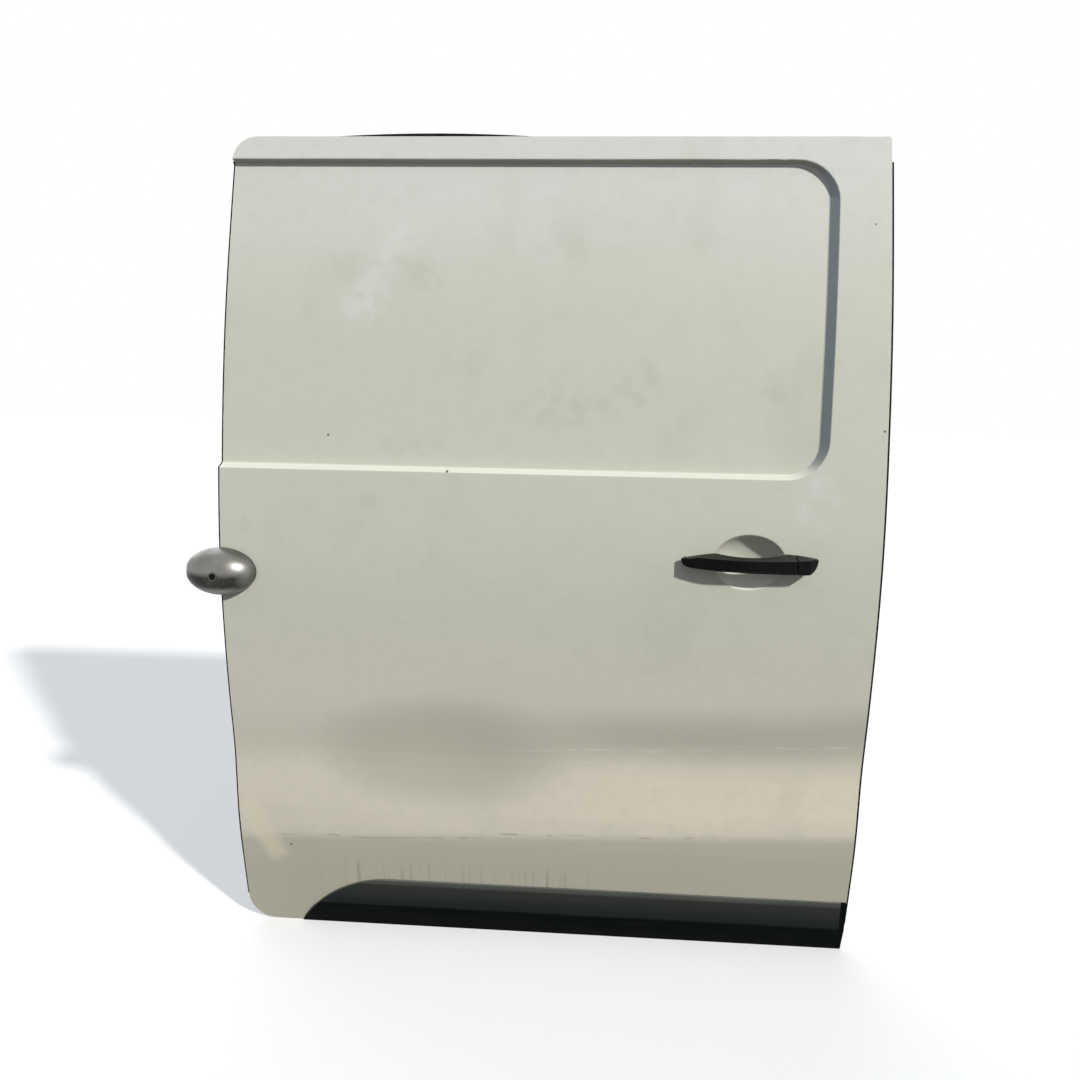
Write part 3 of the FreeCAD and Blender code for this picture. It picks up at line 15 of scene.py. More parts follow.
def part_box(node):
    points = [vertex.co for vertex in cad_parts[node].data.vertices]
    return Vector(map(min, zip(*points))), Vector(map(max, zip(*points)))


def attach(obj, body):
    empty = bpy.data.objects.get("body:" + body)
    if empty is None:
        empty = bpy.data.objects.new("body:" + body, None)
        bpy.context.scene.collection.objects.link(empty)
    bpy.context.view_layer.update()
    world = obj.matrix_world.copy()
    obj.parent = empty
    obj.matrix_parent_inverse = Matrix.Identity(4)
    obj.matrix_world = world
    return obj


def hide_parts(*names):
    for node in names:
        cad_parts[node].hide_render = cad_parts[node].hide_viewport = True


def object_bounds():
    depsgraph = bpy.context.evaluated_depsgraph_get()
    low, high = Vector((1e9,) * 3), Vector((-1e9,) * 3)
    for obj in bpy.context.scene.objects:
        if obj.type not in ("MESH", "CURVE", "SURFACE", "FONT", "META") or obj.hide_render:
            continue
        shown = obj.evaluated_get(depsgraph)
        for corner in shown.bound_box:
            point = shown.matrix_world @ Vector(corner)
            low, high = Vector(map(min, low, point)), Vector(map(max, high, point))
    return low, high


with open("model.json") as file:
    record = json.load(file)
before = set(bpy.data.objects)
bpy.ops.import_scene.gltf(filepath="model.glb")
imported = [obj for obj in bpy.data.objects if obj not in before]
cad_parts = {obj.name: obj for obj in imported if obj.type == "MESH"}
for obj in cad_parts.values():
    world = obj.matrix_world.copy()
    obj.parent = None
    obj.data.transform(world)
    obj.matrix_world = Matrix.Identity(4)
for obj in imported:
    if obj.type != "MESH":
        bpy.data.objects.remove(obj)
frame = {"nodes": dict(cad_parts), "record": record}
cad_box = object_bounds()
nodes = frame["nodes"]
MM = 0.001
print("solids", len(nodes), "lowest", cad_box[0], "highest", cad_box[1])

# %% [markdown]
# ## The camera
# The photograph looks at the door from in front of the handle, a little downwards.
# The camera could be placed by eye, but the door's own edges give its place and turn, so these are
# typed in. The focal length is given in pixels of a 1080 pixel frame and turned into a lens.

# %% Place the camera
CAMERA_PLACE = (0.601, -1.743, 0.303)
CAMERA_TURN = math.radians(3.98)
CAMERA_TILT = math.radians(90 - 9.34)
CAMERA_ROLL = math.radians(0.95)
FRAME_PIXELS = 1080
FOCAL_PIXELS = 1000

bpy.ops.object.camera_add(location=CAMERA_PLACE)
camera = bpy.context.object
turn = Matrix.Rotation(CAMERA_TURN, 3, "Z")
tilt = Matrix.Rotation(CAMERA_TILT, 3, "X")
roll = Matrix.Rotation(CAMERA_ROLL, 3, "Z")
camera.rotation_euler = (turn @ tilt @ roll).to_euler()
camera.data.lens = camera.data.sensor_width * FOCAL_PIXELS / FRAME_PIXELS
bpy.context.scene.camera = camera
bpy.context.scene.view_settings.view_transform = "Standard"
print("lens", round(camera.data.lens, 2), "mm")

# %% [markdown]
# ## A socket that does sums
# Every finish below is worked out from the place on the door, so it needs many small sums.
# Each sum could be a Math node added by hand. Here one class wraps a socket, and writing a + b on two
# of them adds the Math node, so that a finish reads like a formula.

# %% Socket arithmetic
COLOUR_UNDER, COLOUR_OVER, COLOUR_MIXED = 6, 7, 2


class Flow:
    def __init__(self, tree, socket=None):
        self.tree = tree
        self.socket = socket

    # Any node: its type, its settings, and the values or links of its sockets
    def node(self, kind, settings=None, sockets=None, output=0):
        made = self.tree.nodes.new(kind)
        for name, value in (settings or {}).items():
            setattr(made, name, value)
        for name, value in (sockets or {}).items():
            if isinstance(value, Flow):
                self.tree.links.new(value.socket, made.inputs[name])
            else:
                made.inputs[name].default_value = value
        return Flow(self.tree, made.outputs[output])

    def sum(self, operation, first, second):
        return self.node("ShaderNodeMath", {"operation": operation}, {0: first, 1: second})

    def __add__(self, other):
        return self.sum("ADD", self, other)

    def __radd__(self, other):
        return self.sum("ADD", other, self)

    def __sub__(self, other):
        return self.sum("SUBTRACT", self, other)

    def __rsub__(self, other):
        return self.sum("SUBTRACT", other, self)

    def __mul__(self, other):
        return self.sum("MULTIPLY", self, other)

    def __rmul__(self, other):
        return self.sum("MULTIPLY", other, self)

    def __abs__(self):
        return self.sum("ABSOLUTE", self, 0.0)

    def __pow__(self, other):
        return self.sum("POWER", self, other)

    # 0 below the first value, 1 above the second, eased in between
    def ease(self, low, high):
        settings = {"interpolation_type": "SMOOTHSTEP"}
        sockets = {"Value": self, "From Min": low, "From Max": high}
        return self.node("ShaderNodeMapRange", settings, sockets)

    # One colour laid over another, as much as this value says
    def tint(self, under, over):
        sockets = {"Factor": self, COLOUR_UNDER: under, COLOUR_OVER: over}
        return self.node("ShaderNodeMix", {"data_type": "RGBA"}, sockets, COLOUR_MIXED)


# %% [markdown]
# Paint colours are easier to judge as the eight-bit values that a picture shows. Blender works with
# linear light, so one small function follows the standard curve from the one to the other.

# %% Colours
def rgb(red, green, blue):
    def linear(value):
        share = value / 255
        return share / 12.92 if share <= 0.04045 else ((share + 0.055) / 1.055) ** 2.4

    return (linear(red), linear(green), linear(blue), 1.0)


print("a grey of 128 is", round(rgb(128, 128, 128)[0], 3), "in linear light")

# %% [markdown]
# Every finish starts in the same way: a new material, its shader with the values that stay the same all
# over, and a Flow to build the rest from. Patterns read the piece's own coordinates, which are the
# door's coordinates here, so that a pattern runs on from one piece to the next.

# %% Helpers for finishes
OBJECT_COORDINATES = 3


def new_finish(name, **constants):
    finish = bpy.data.materials.new(name)
    finish.use_nodes = True
    tree = finish.node_tree
    shader = next(node for node in tree.nodes if node.type == "BSDF_PRINCIPLED")
    for socket, value in constants.items():
        shader.inputs[socket.replace("_", " ")].default_value = value
    return finish, shader, Flow(tree)


def feed(shader, socket, flow):
    flow.tree.links.new(flow.socket, shader.inputs[socket])


def object_place(flow):
    return flow.node("ShaderNodeTexCoord", output=OBJECT_COORDINATES)


# The place on the door as three numbers
def places(flow):
    split = flow.node("ShaderNodeSeparateXYZ", sockets={0: object_place(flow)})
    return [Flow(flow.tree, output) for output in split.socket.node.outputs]


def grain(flow, scale, detail, stretch=(1.0, 1.0, 1.0)):
    drawn = flow.node("ShaderNodeMapping", sockets={"Vector": object_place(flow), "Scale": stretch})
    sockets = {"Vector": drawn, "Scale": scale, "Detail": detail}
    return flow.node("ShaderNodeTexNoise", sockets=sockets)


# 1 from low to high, with soft ends
def between(value, low, high, soft):
    return value.ease(low - soft, low + soft) * (1 - value.ease(high - soft, high + soft))


def relief(shader, height):
    bump = height.node("ShaderNodeBump", sockets={"Height": height, "Distance": 1.0, "Strength": 1.0})
    feed(shader, "Normal", bump)


# %% [markdown]
# ## Light and floor
# The door stands in clear sun from the upper right, and its shaded folds are much darker than its face.
# One sun lamp with a narrow edge gives the crisp shadow under the handle. A pale sky fills the shade,
# and a wide soft lamp behind the door lights the inner side, as a fill lamp does in a studio.
# The backdrop has to be white to the camera and to reflections without lighting the door more,
# so the world and the floor ask which kind of ray is looking.

# %% Sun, fill lamp and sky
SUN_FROM = Vector((0.92, -1.0, 0.85))
SUN_STRENGTH = 3.85
SUN_SOFTNESS = math.radians(3)
SUN_COLOUR = (1.0, 0.985, 0.95)
FILL_FROM = Vector((-0.4, 1.0, 0.9))
FILL_STRENGTH = 1.3
FILL_SOFTNESS = math.radians(70)
SKY_ABOVE = 0.44
SKY_BELOW = 0.12
SKY_RISE = (-0.5, 0.7)
SKY_TINT = (0.88, 0.97, 1.08, 1.0)
WHITE = (1.0, 1.0, 1.0, 1.0)
WORLD_DIRECTION = 0
HEIGHT_OUTPUT = 2
DIRECT_RAYS = ("Is Camera Ray", "Is Glossy Ray", "Is Transmission Ray")


def add_sun(name, source, strength, softness, colour):
    bpy.ops.object.light_add(type="SUN", rotation=(-source).to_track_quat("-Z", "Y").to_euler())
    lamp = bpy.context.object
    lamp.name = name
    lamp.data.energy = strength
    lamp.data.angle = softness
    lamp.data.color = colour
    print(name, "strength", strength)


def seen_directly(flow):
    path = flow.node("ShaderNodeLightPath").socket.node.outputs
    camera_ray, glossy_ray, clear_ray = [Flow(flow.tree, path[name]) for name in DIRECT_RAYS]
    return camera_ray + glossy_ray + clear_ray


add_sun("sun", SUN_FROM, SUN_STRENGTH, SUN_SOFTNESS, SUN_COLOUR)
add_sun("fill_lamp", FILL_FROM, FILL_STRENGTH, FILL_SOFTNESS, WHITE[:3])
world = bpy.data.worlds.new("open_sky")
world.use_nodes = True
bpy.context.scene.world = world
sky = Flow(world.node_tree)
background = next(node for node in world.node_tree.nodes if node.type == "BACKGROUND")
direction = sky.node("ShaderNodeTexCoord", output=WORLD_DIRECTION)
upward = sky.node("ShaderNodeSeparateXYZ", sockets={0: direction}, output=HEIGHT_OUTPUT)
ambient = SKY_BELOW + upward.ease(*SKY_RISE) * (SKY_ABOVE - SKY_BELOW)
direct = seen_directly(sky)
feed(background, "Strength", direct + (1 - direct) * ambient)
feed(background, "Color", direct.tint(SKY_TINT, WHITE))

# %% [markdown]
# The floor looks pale to the camera and keeps the door's shadow, but it throws back only as much light
# as dull paving does. One colour couldn't do both, so one is for looking and one is for bouncing.

# %% Floor
FLOOR_SEEN = (0.60, 0.60, 0.60, 1.0)
FLOOR_BOUNCE = (0.16, 0.16, 0.17, 1.0)
FLOOR_GLOW = 0.28
FLOOR_SIZE = 40.0

floor_height = cad_box[0][2]
bpy.ops.mesh.primitive_plane_add(size=FLOOR_SIZE, location=(0, 0, floor_height))
floor = bpy.context.object
floor.name = "floor"
floor_constants = {"Roughness": 0.9, "Specular IOR Level": 0.0, "Emission Strength": 1.0}
floor_finish, floor_shader, floor_flow = new_finish("pale_floor", **floor_constants)
seen = seen_directly(floor_flow)
glow = seen * FLOOR_GLOW
glow_colour = floor_flow.node("ShaderNodeCombineColor", sockets={0: glow, 1: glow, 2: glow})
feed(floor_shader, "Base Color", seen.tint(FLOOR_BOUNCE, FLOOR_SEEN))
feed(floor_shader, "Emission Color", glow_colour)
floor.data.materials.append(floor_finish)
print("floor at", round(floor_height, 3))

# %% [markdown]
# ## The body paint
# The skin is cream white paint that has chalked and collected road film. It could be one flat colour,
# but here it is whiter at the top as painted light, yellow and dull in two bands above its lowest fold
# as painted highlight and painted shade, dull below that fold as painted shade and dirt, smudged in the
# blank, and it has drips, scratches and small chips. Its folds and ledges get painted shade and
# highlight as well. Each of these is a mask made from the place on the door. First come the shapes of
# the masks: a stroke, a spot and a speck.

# %% Shapes of the marks
STROKE_FADE = 0.1
STROKE_CORE = 0.3
SPOT_CORE = 0.1
SPECK_CORE = 0.5
LOTTERY_EDGE = 0.01
SURFACE_NORMAL = 1


# A straight mark: soft along its sides, fading at both ends, and broken up by a pattern or a number
def stroke(x, z, start, end, width, breaks):
    (x0, z0), (x1, z1) = start, end
    length = math.hypot(x1 - x0, z1 - z0)
    run, rise = (x1 - x0) / length, (z1 - z0) / length
    along = (x - x0) * run + (z - z0) * rise
    off = abs((x - x0) * rise - (z - z0) * run)
    inside = between(along, 0.0, length, STROKE_FADE * length)
    return (1 - off.ease(STROKE_CORE * width, width)) * inside * breaks


def spot(x, z, centre, width, height):
    across = ((x - centre[0]) * (1 / width)) ** 2 + ((z - centre[1]) * (1 / height)) ** 2
    return 1 - across.ease(SPOT_CORE, 1.0)


# How far the surface leans along axis 0, 1 or 2, from -1 to 1
def surface_lean(flow, axis):
    normal = flow.node("ShaderNodeNewGeometry", output=SURFACE_NORMAL)
    return flow.node("ShaderNodeSeparateXYZ", sockets={0: normal}, output=axis)


# Small specks in a Voronoi pattern, where each cell draws a lot and a share of the cells keeps one
def specks(flow, scale, size, share):
    sockets = {"Vector": object_place(flow), "Scale": scale}
    distance = flow.node("ShaderNodeTexVoronoi", {"feature": "F1"}, sockets)
    cell_colour = Flow(flow.tree, distance.socket.node.outputs["Color"])
    lot = flow.node("ShaderNodeSeparateColor", sockets={0: cell_colour})
    chosen = 1 - lot.ease(share, share + LOTTERY_EDGE)
    return (1 - distance.ease(SPECK_CORE * size * scale, size * scale)) * chosen


# %% [markdown]
# The paint is layered like the real one, and the clean paint comes first. It goes from one colour to
# the next with the height, and the whiter colour at the top is painted light where the upper skin
# faces the sky.
# A slow cloud pattern moves the borders, because a level border would look like a stripe.

# %% Clean paint
# The top colour is painted light: the upper skin is whiter because it faces the sky.
PAINT_TOP_PAINTED_LIGHT = rgb(192, 192, 187)
PAINT_BLANK = rgb(182, 183, 170)
PAINT_MIDDLE = rgb(185, 185, 171)
PAINT_LOW = rgb(195, 190, 176)
MIDDLE_TO_BLANK = (-0.05, 0.35)
BLANK_TO_TOP = (0.48, 0.80)
LOW_TO_MIDDLE = (-0.40, 0.0)
TOP_WANDER = 0.2
LOW_WANDER = 0.1


def clean_paint(z, cloud):
    colour = z.ease(*MIDDLE_TO_BLANK).tint(PAINT_MIDDLE, PAINT_BLANK)
    colour = (z + cloud * TOP_WANDER).ease(*BLANK_TO_TOP).tint(colour, PAINT_TOP_PAINTED_LIGHT)
    return (1 - (z + cloud * LOW_WANDER).ease(*LOW_TO_MIDDLE)).tint(colour, PAINT_LOW)


# %% [markdown]
# A fold runs across the lower skin and rises a little to the front. Above it lie a bright, yellow band,
# which is a painted highlight, and a dull band, which is painted shade, both stronger to the front, and
# below it all is dull, which is painted shade together with road dirt. Heights are taken from the fold,
# so that the bands rise with it.

# %% Painted shade and highlight at the fold, and road dirt
# The bright colour is a painted highlight, the dull colour is painted shade, and the colour under the
# fold is painted shade with dirt.
PAINTED_HIGHLIGHT_CREAM = rgb(206, 199, 178)
PAINTED_SHADE_DULL = rgb(170, 167, 152)
PAINTED_SHADE_AND_DIRT_UNDER = rgb(171, 168, 151)
SKIN_REAR = -0.08
FOLD_REAR = -0.563
FOLD_RISE = 0.046
FOLD_SOFT = 0.012
FRONT_HALF = (0.44, 0.80)
FRONT_WANDER = 0.2
DULL_LOW, DULL_HIGH, DULL_SOFT, DULL_WANDER = 0.195, 0.270, 0.035, 0.06
DULL_AT_REAR, DULL_TO_FRONT = 0.28, 0.72
BRIGHT_LOW, BRIGHT_HIGH, BRIGHT_SOFT, BRIGHT_WANDER = 0.035, 0.160, 0.036, 0.05
BRIGHT_AT_REAR, BRIGHT_TO_FRONT = 0.10, 0.75
PATCH_LEAST, PATCH_RANGE = 0.55, 0.8
UNDER_SHARE = 0.95


def fold_shading_and_dirt(flow, x, z, colour, cloud):
    over_fold = z - FOLD_REAR - (x - SKIN_REAR) * FOLD_RISE
    frontward = (x + cloud * FRONT_WANDER).ease(*FRONT_HALF)
    dull = between(over_fold + cloud * DULL_WANDER, DULL_LOW, DULL_HIGH, DULL_SOFT)
    colour = (dull * (DULL_AT_REAR + frontward * DULL_TO_FRONT)).tint(colour, PAINTED_SHADE_DULL)
    patchy = PATCH_LEAST + grain(flow, scale=4.5, detail=3.0, stretch=(0.7, 1.0, 1.3)) * PATCH_RANGE
    bright = between(over_fold + cloud * BRIGHT_WANDER, BRIGHT_LOW, BRIGHT_HIGH, BRIGHT_SOFT)
    bright = bright * (BRIGHT_AT_REAR + frontward * BRIGHT_TO_FRONT) * patchy
    colour = bright.tint(colour, PAINTED_HIGHLIGHT_CREAM)
    under = 1 - over_fold.ease(-FOLD_SOFT, FOLD_SOFT)
    return (under * UNDER_SHARE).tint(colour, PAINTED_SHADE_AND_DIRT_UNDER), under


# %% [markdown]
# Smears and mottling lie all over the skin, thicker in the blank. The walls of the blank that look
# rearwards or down get painted shade in blue-grey and grey, and the ledge that looks up gets a pale
# painted highlight. Placing each by hand would take many masks, but the surface's own lean finds them
# all at once.

# %% Dirt, painted shade in the folds and a painted highlight on the ledge
PAINT_SMUDGE = rgb(166, 168, 153)
# The washed colour is a painted highlight on faces that look up, and the two fold colours are painted
# shade on walls that look rearwards or down.
LEDGE_PAINTED_HIGHLIGHT = rgb(211, 210, 198)
REARWARD_PAINTED_SHADE = rgb(138, 147, 156)
DOWNWARD_PAINTED_SHADE = rgb(134, 132, 119)
BLANK_FOOT = (0.10, 0.20)
BLANK_HEAD = (0.52, 0.60)
SMEAR_RANGE = (0.54, 0.72)
SMEAR_SHARE, SMEAR_IN_BLANK = 0.16, 0.22
MOTTLE_RANGE = (0.45, 0.75)
MOTTLE_SHARE = 0.16
SHADE_ZONE_RANGE = (0.08, 0.14)
SHADE_ZONE_SHARE = 0.8
TURNED_AWAY = (-0.75, -0.35)
TURNED_UP = (0.45, 0.80)


def dirt_and_fold_shading(flow, z, colour, mottle):
    smear = grain(flow, scale=9.0, detail=5.0, stretch=(1.0, 1.0, 0.6)).ease(*SMEAR_RANGE)
    in_blank = z.ease(*BLANK_FOOT) * (1 - z.ease(*BLANK_HEAD))
    colour = (smear * (SMEAR_SHARE + in_blank * SMEAR_IN_BLANK)).tint(colour, PAINT_SMUDGE)
    colour = (mottle.ease(*MOTTLE_RANGE) * MOTTLE_SHARE).tint(colour, PAINT_SMUDGE)
    shade_zone = z.ease(*SHADE_ZONE_RANGE) * SHADE_ZONE_SHARE
    rearward = 1 - surface_lean(flow, 0).ease(*TURNED_AWAY)
    downward = 1 - surface_lean(flow, 2).ease(*TURNED_AWAY)
    colour = (rearward * shade_zone).tint(colour, REARWARD_PAINTED_SHADE)
    colour = (downward * shade_zone).tint(colour, DOWNWARD_PAINTED_SHADE)
    return surface_lean(flow, 2).ease(*TURNED_UP).tint(colour, LEDGE_PAINTED_HIGHLIGHT)


# %% [markdown]
# Marks with a place of their own are typed in: a scuff across the blank, a worn patch near the blank's
# corner, smudges left by hands, painted shade in two dents and a painted highlight, a gleam, beside one
# of them. A mottled pattern eats into the first three, because an even patch looks sprayed on.

# %% Worn places, and painted shade and highlight at the dents
PAINT_SCUFF = rgb(200, 199, 198)
SCUFF_START, SCUFF_END, SCUFF_WIDTH = (0.150, 0.395), (0.262, 0.560), 0.042
SCUFF_SHARE = 0.46
SCUFF_BEND = 0.05
SCUFF_RANGE = (0.30, 0.62)
WORN_PLACE, WORN_WIDTH, WORN_HEIGHT = (0.945, 0.100), 0.050, 0.065
WORN_SHARE = 0.45
WORN_RANGE = (0.35, 0.65)
SMUDGE_SHARE = 0.40
SMUDGES = [
    ((0.187, 0.088), 0.022, 0.020),
    ((0.443, 0.070), 0.014, 0.012),
    ((-0.028, 0.040), 0.012, 0.022),
    ((0.520, 0.250), 0.110, 0.045),
    ((0.640, 0.290), 0.060, 0.050),
    ((0.870, 0.270), 0.030, 0.065),
    ((0.260, 0.180), 0.060, 0.030),
    ((0.280, 0.470), 0.050, 0.040),
]
# The dent shades and the gleam are painted shade and a painted highlight.
DENT_SHADES = [((0.310, -0.375), 0.27, 0.13, 0.80), ((0.02, -0.64), 0.12, 0.10, 0.45)]
GLEAM_START, GLEAM_END, GLEAM_WIDTH = (-0.061, -0.483), (-0.004, -0.606), 0.030
GLEAM_SHARE = 0.60


def wear_and_dent_shading(x, z, colour, slow, mottle):
    broken = mottle.ease(*SCUFF_RANGE)
    patches = mottle.ease(*WORN_RANGE)
    scuff = stroke(x + slow * SCUFF_BEND, z, SCUFF_START, SCUFF_END, SCUFF_WIDTH, broken)
    worn = spot(x, z, WORN_PLACE, WORN_WIDTH, WORN_HEIGHT) * patches
    colour = (scuff * SCUFF_SHARE + worn * WORN_SHARE).tint(colour, PAINT_SCUFF)
    for place, width, height in SMUDGES:
        smudge = spot(x, z, place, width, height) * patches
        colour = (smudge * SMUDGE_SHARE).tint(colour, PAINT_SMUDGE)
    shade = 0.0
    for place, width, height, share in DENT_SHADES:
        shade = shade + spot(x, z, place, width, height) * share
    colour = shade.tint(colour, PAINTED_SHADE_DULL)
    gleam = stroke(x, z, GLEAM_START, GLEAM_END, GLEAM_WIDTH, GLEAM_SHARE)
    return gleam.tint(colour, PAINTED_HIGHLIGHT_CREAM)


# %% [markdown]
# Dirty water has run down to the cladding in thin drips. Each could be its own stroke, but one noise
# that is squeezed along the door gives columns of every width, and a second one ends each at its own
# height.

# %% Drips
PAINT_DIRT = rgb(140, 133, 112)
DRIP_FOOT, DRIP_HEAD, DRIP_SOFT = -0.70, -0.605, 0.02
DRIP_REAR, DRIP_FRONT, DRIP_THIN_OUT = 0.09, 0.62, 0.05
DRIP_COLUMNS = (0.52, 0.66)
DRIP_REACH = 0.05
DRIP_START = (-0.66, -0.60)
DRIP_SHARE = 0.60


def drips(flow, x, z, colour):
    columns = grain(flow, scale=1.0, detail=3.0, stretch=(120.0, 1.0, 3.0)).ease(*DRIP_COLUMNS)
    reach = grain(flow, scale=1.0, detail=1.0, stretch=(40.0, 1.0, 1.0)) * DRIP_REACH
    zone = between(z, DRIP_FOOT, DRIP_HEAD, DRIP_SOFT) * between(x, DRIP_REAR, DRIP_FRONT, DRIP_THIN_OUT)
    drip = columns * zone * (1 - (z - reach).ease(*DRIP_START))
    return (drip * DRIP_SHARE).tint(colour, PAINT_DIRT)


# %% [markdown]
# Scratches along the lower door are strokes from a list, each with its ends, its width and its share.
# A slow noise bends them, because a ruler-straight line looks drawn, and a quick noise breaks them up.
# Chips are dark where they reach the metal and pale where they stop in the primer.

# %% Scratches and chips
SCRATCH_PALE = rgb(208, 206, 194)
CHIP_DARK = rgb(78, 70, 60)
CHIP_PALE = rgb(222, 220, 210)
SCRATCH_BEND = 0.02
SCRATCH_BREAKS = (0.38, 0.62)
PALE_SHARE = 0.45
PALE_SCRATCHES = [
    ((0.430, -0.368), (0.800, -0.347), 0.0022, 1.0),
    ((0.640, -0.352), (0.840, -0.338), 0.0016, 1.0),
    ((0.905, -0.338), (1.035, -0.330), 0.0022, 1.0),
    ((0.080, -0.268), (0.330, -0.240), 0.0014, 0.5),
]
DARK_SCRATCHES = [
    ((0.000, -0.556), (0.420, -0.545), 0.0020, 0.30),
    ((0.400, -0.536), (0.800, -0.520), 0.0026, 0.40),
]
CHIPS = [(-0.081, 0.680), (0.323, 0.139), (1.050, 0.221), (0.112, 0.196), (0.02, -0.577)]
CHIP_SIZE = 0.0026
SMALL_CHIP_SHARE = 0.7
PALE_CHIP_SHARE = 0.7
PALE_CHIP_HEAD = (-0.45, -0.25)


def scratches(x, z, rows, breaks):
    marks = 0.0
    for start, end, width, share in rows:
        marks = marks + stroke(x, z, start, end, width, breaks) * share
    return marks


def scratched_paint(flow, x, z, colour, slow):
    crooked = z + slow * SCRATCH_BEND
    breaks = grain(flow, scale=30.0, detail=4.0).ease(*SCRATCH_BREAKS)
    pale = scratches(x, crooked, PALE_SCRATCHES, breaks)
    colour = (pale * PALE_SHARE).tint(colour, SCRATCH_PALE)
    dark = scratches(x, crooked, DARK_SCRATCHES, breaks)
    dark = dark + specks(flow, scale=9.0, size=0.0022, share=0.30)
    dark = dark + specks(flow, scale=26.0, size=0.0012, share=0.16) * SMALL_CHIP_SHARE
    for place in CHIPS:
        dark = dark + spot(x, z, place, CHIP_SIZE, CHIP_SIZE)
    colour = dark.tint(colour, CHIP_DARK)
    primer = specks(flow, scale=20.0, size=0.0019, share=0.22) * (1 - z.ease(*PALE_CHIP_HEAD))
    return (primer * PALE_CHIP_SHARE).tint(colour, CHIP_PALE)


# %% [markdown]
# Now the layers go on in order. The inner face of the skin has plain paint, because none of the marks
# reach it. The chalked paint is dull, with a low specular level. A slow wave and a fine peel in the
# normal bend the light a little, as thin pressed sheet does.

# %% Body paint
PAINT_INNER = rgb(184, 185, 174)
INNER_FACE = (-0.10, 0.10)
PAINT_ROUGHNESS, MOTTLE_ROUGHNESS, DIRT_ROUGHNESS = 0.50, 0.12, 0.10
WAVE_HEIGHT = 0.0035
PEEL_HEIGHT = 0.000012


def body_paint():
    finish, shader, flow = new_finish("body_paint", Specular_IOR_Level=0.32)
    x, _, z = places(flow)
    cloud = grain(flow, scale=2.2, detail=4.0)
    mottle = grain(flow, scale=38.0, detail=5.0)
    slow = grain(flow, scale=5.0, detail=2.0) - 0.5
    colour, under = fold_shading_and_dirt(flow, x, z, clean_paint(z, cloud), cloud)
    colour = dirt_and_fold_shading(flow, z, colour, mottle)
    colour = wear_and_dent_shading(x, z, colour, slow, mottle)
    colour = drips(flow, x, z, colour)
    colour = scratched_paint(flow, x, z, colour, slow)
    inner = surface_lean(flow, 1).ease(*INNER_FACE)
    feed(shader, "Base Color", inner.tint(colour, PAINT_INNER))
    feed(shader, "Roughness", PAINT_ROUGHNESS + mottle * MOTTLE_ROUGHNESS + under * DIRT_ROUGHNESS)
    waves = grain(flow, scale=3.2, detail=1.0, stretch=(0.6, 1.0, 1.4)) * WAVE_HEIGHT
    peel = grain(flow, scale=320.0, detail=2.0) * PEEL_HEIGHT
    relief(shader, waves + peel)
    return finish


finishes = {"body_paint": body_paint()}
print("body paint nodes", len(finishes["body_paint"].node_tree.nodes))

# %% [markdown]
# ## Paint inside the shell
# The inner pressings carry the same cream paint in a thinner, duller coat, greyed by dust in the low
# places and rubbed through to primer in small spots. The body paint could serve here too, but its marks
# have their places on the outer skin.

# %% Shell paint
SHELL_CREAM = rgb(188, 189, 176)
SHELL_DUST = rgb(140, 135, 118)
SHELL_PRIMER = rgb(120, 122, 118)
LOW_DUST = (-0.72, -0.40)
LOW_DUST_WANDER = 0.15
LOW_DUST_SHARE = 0.5
CLOUD_DUST = (0.5, 0.8)
CLOUD_DUST_SHARE = 0.2
RUBBED_RANGE = (0.4, 0.6)
RUBBED_SHARE = 0.6
SHELL_ROUGHNESS, SHELL_ROUGHNESS_RANGE = 0.42, 0.2
SHELL_PEEL = 0.00002


def shell_paint():
    finish, shader, flow = new_finish("shell_paint")
    z = places(flow)[2]
    cloud = grain(flow, scale=6.0, detail=5.0)
    low_dust = 1 - (z + cloud * LOW_DUST_WANDER).ease(*LOW_DUST)
    dust = low_dust * LOW_DUST_SHARE + cloud.ease(*CLOUD_DUST) * CLOUD_DUST_SHARE
    colour = dust.tint(SHELL_CREAM, SHELL_DUST)
    ragged = grain(flow, scale=90.0, detail=3.0).ease(*RUBBED_RANGE)
    rubbed = specks(flow, scale=14.0, size=0.004, share=0.12) * ragged
    feed(shader, "Base Color", (rubbed * RUBBED_SHARE).tint(colour, SHELL_PRIMER))
    feed(shader, "Roughness", SHELL_ROUGHNESS + cloud * SHELL_ROUGHNESS_RANGE)
    relief(shader, grain(flow, scale=260.0, detail=2.0) * SHELL_PEEL)
    return finish


finishes["shell_paint"] = shell_paint()
print("shell paint nodes", len(finishes["shell_paint"].node_tree.nodes))

# %% [markdown]
# ## Black mouldings and rubber
# The handle, the inside release and the jamb fittings are black plastic with a fine grain, and whatever
# looks upwards turns grey, partly with dust and partly as a painted sheen of the sky. The grey could be
# painted by place, but the surface's own upward lean finds it on every piece. The seals are duller
# still.
# Black plastic in the open reflects little, so its specular level is low.

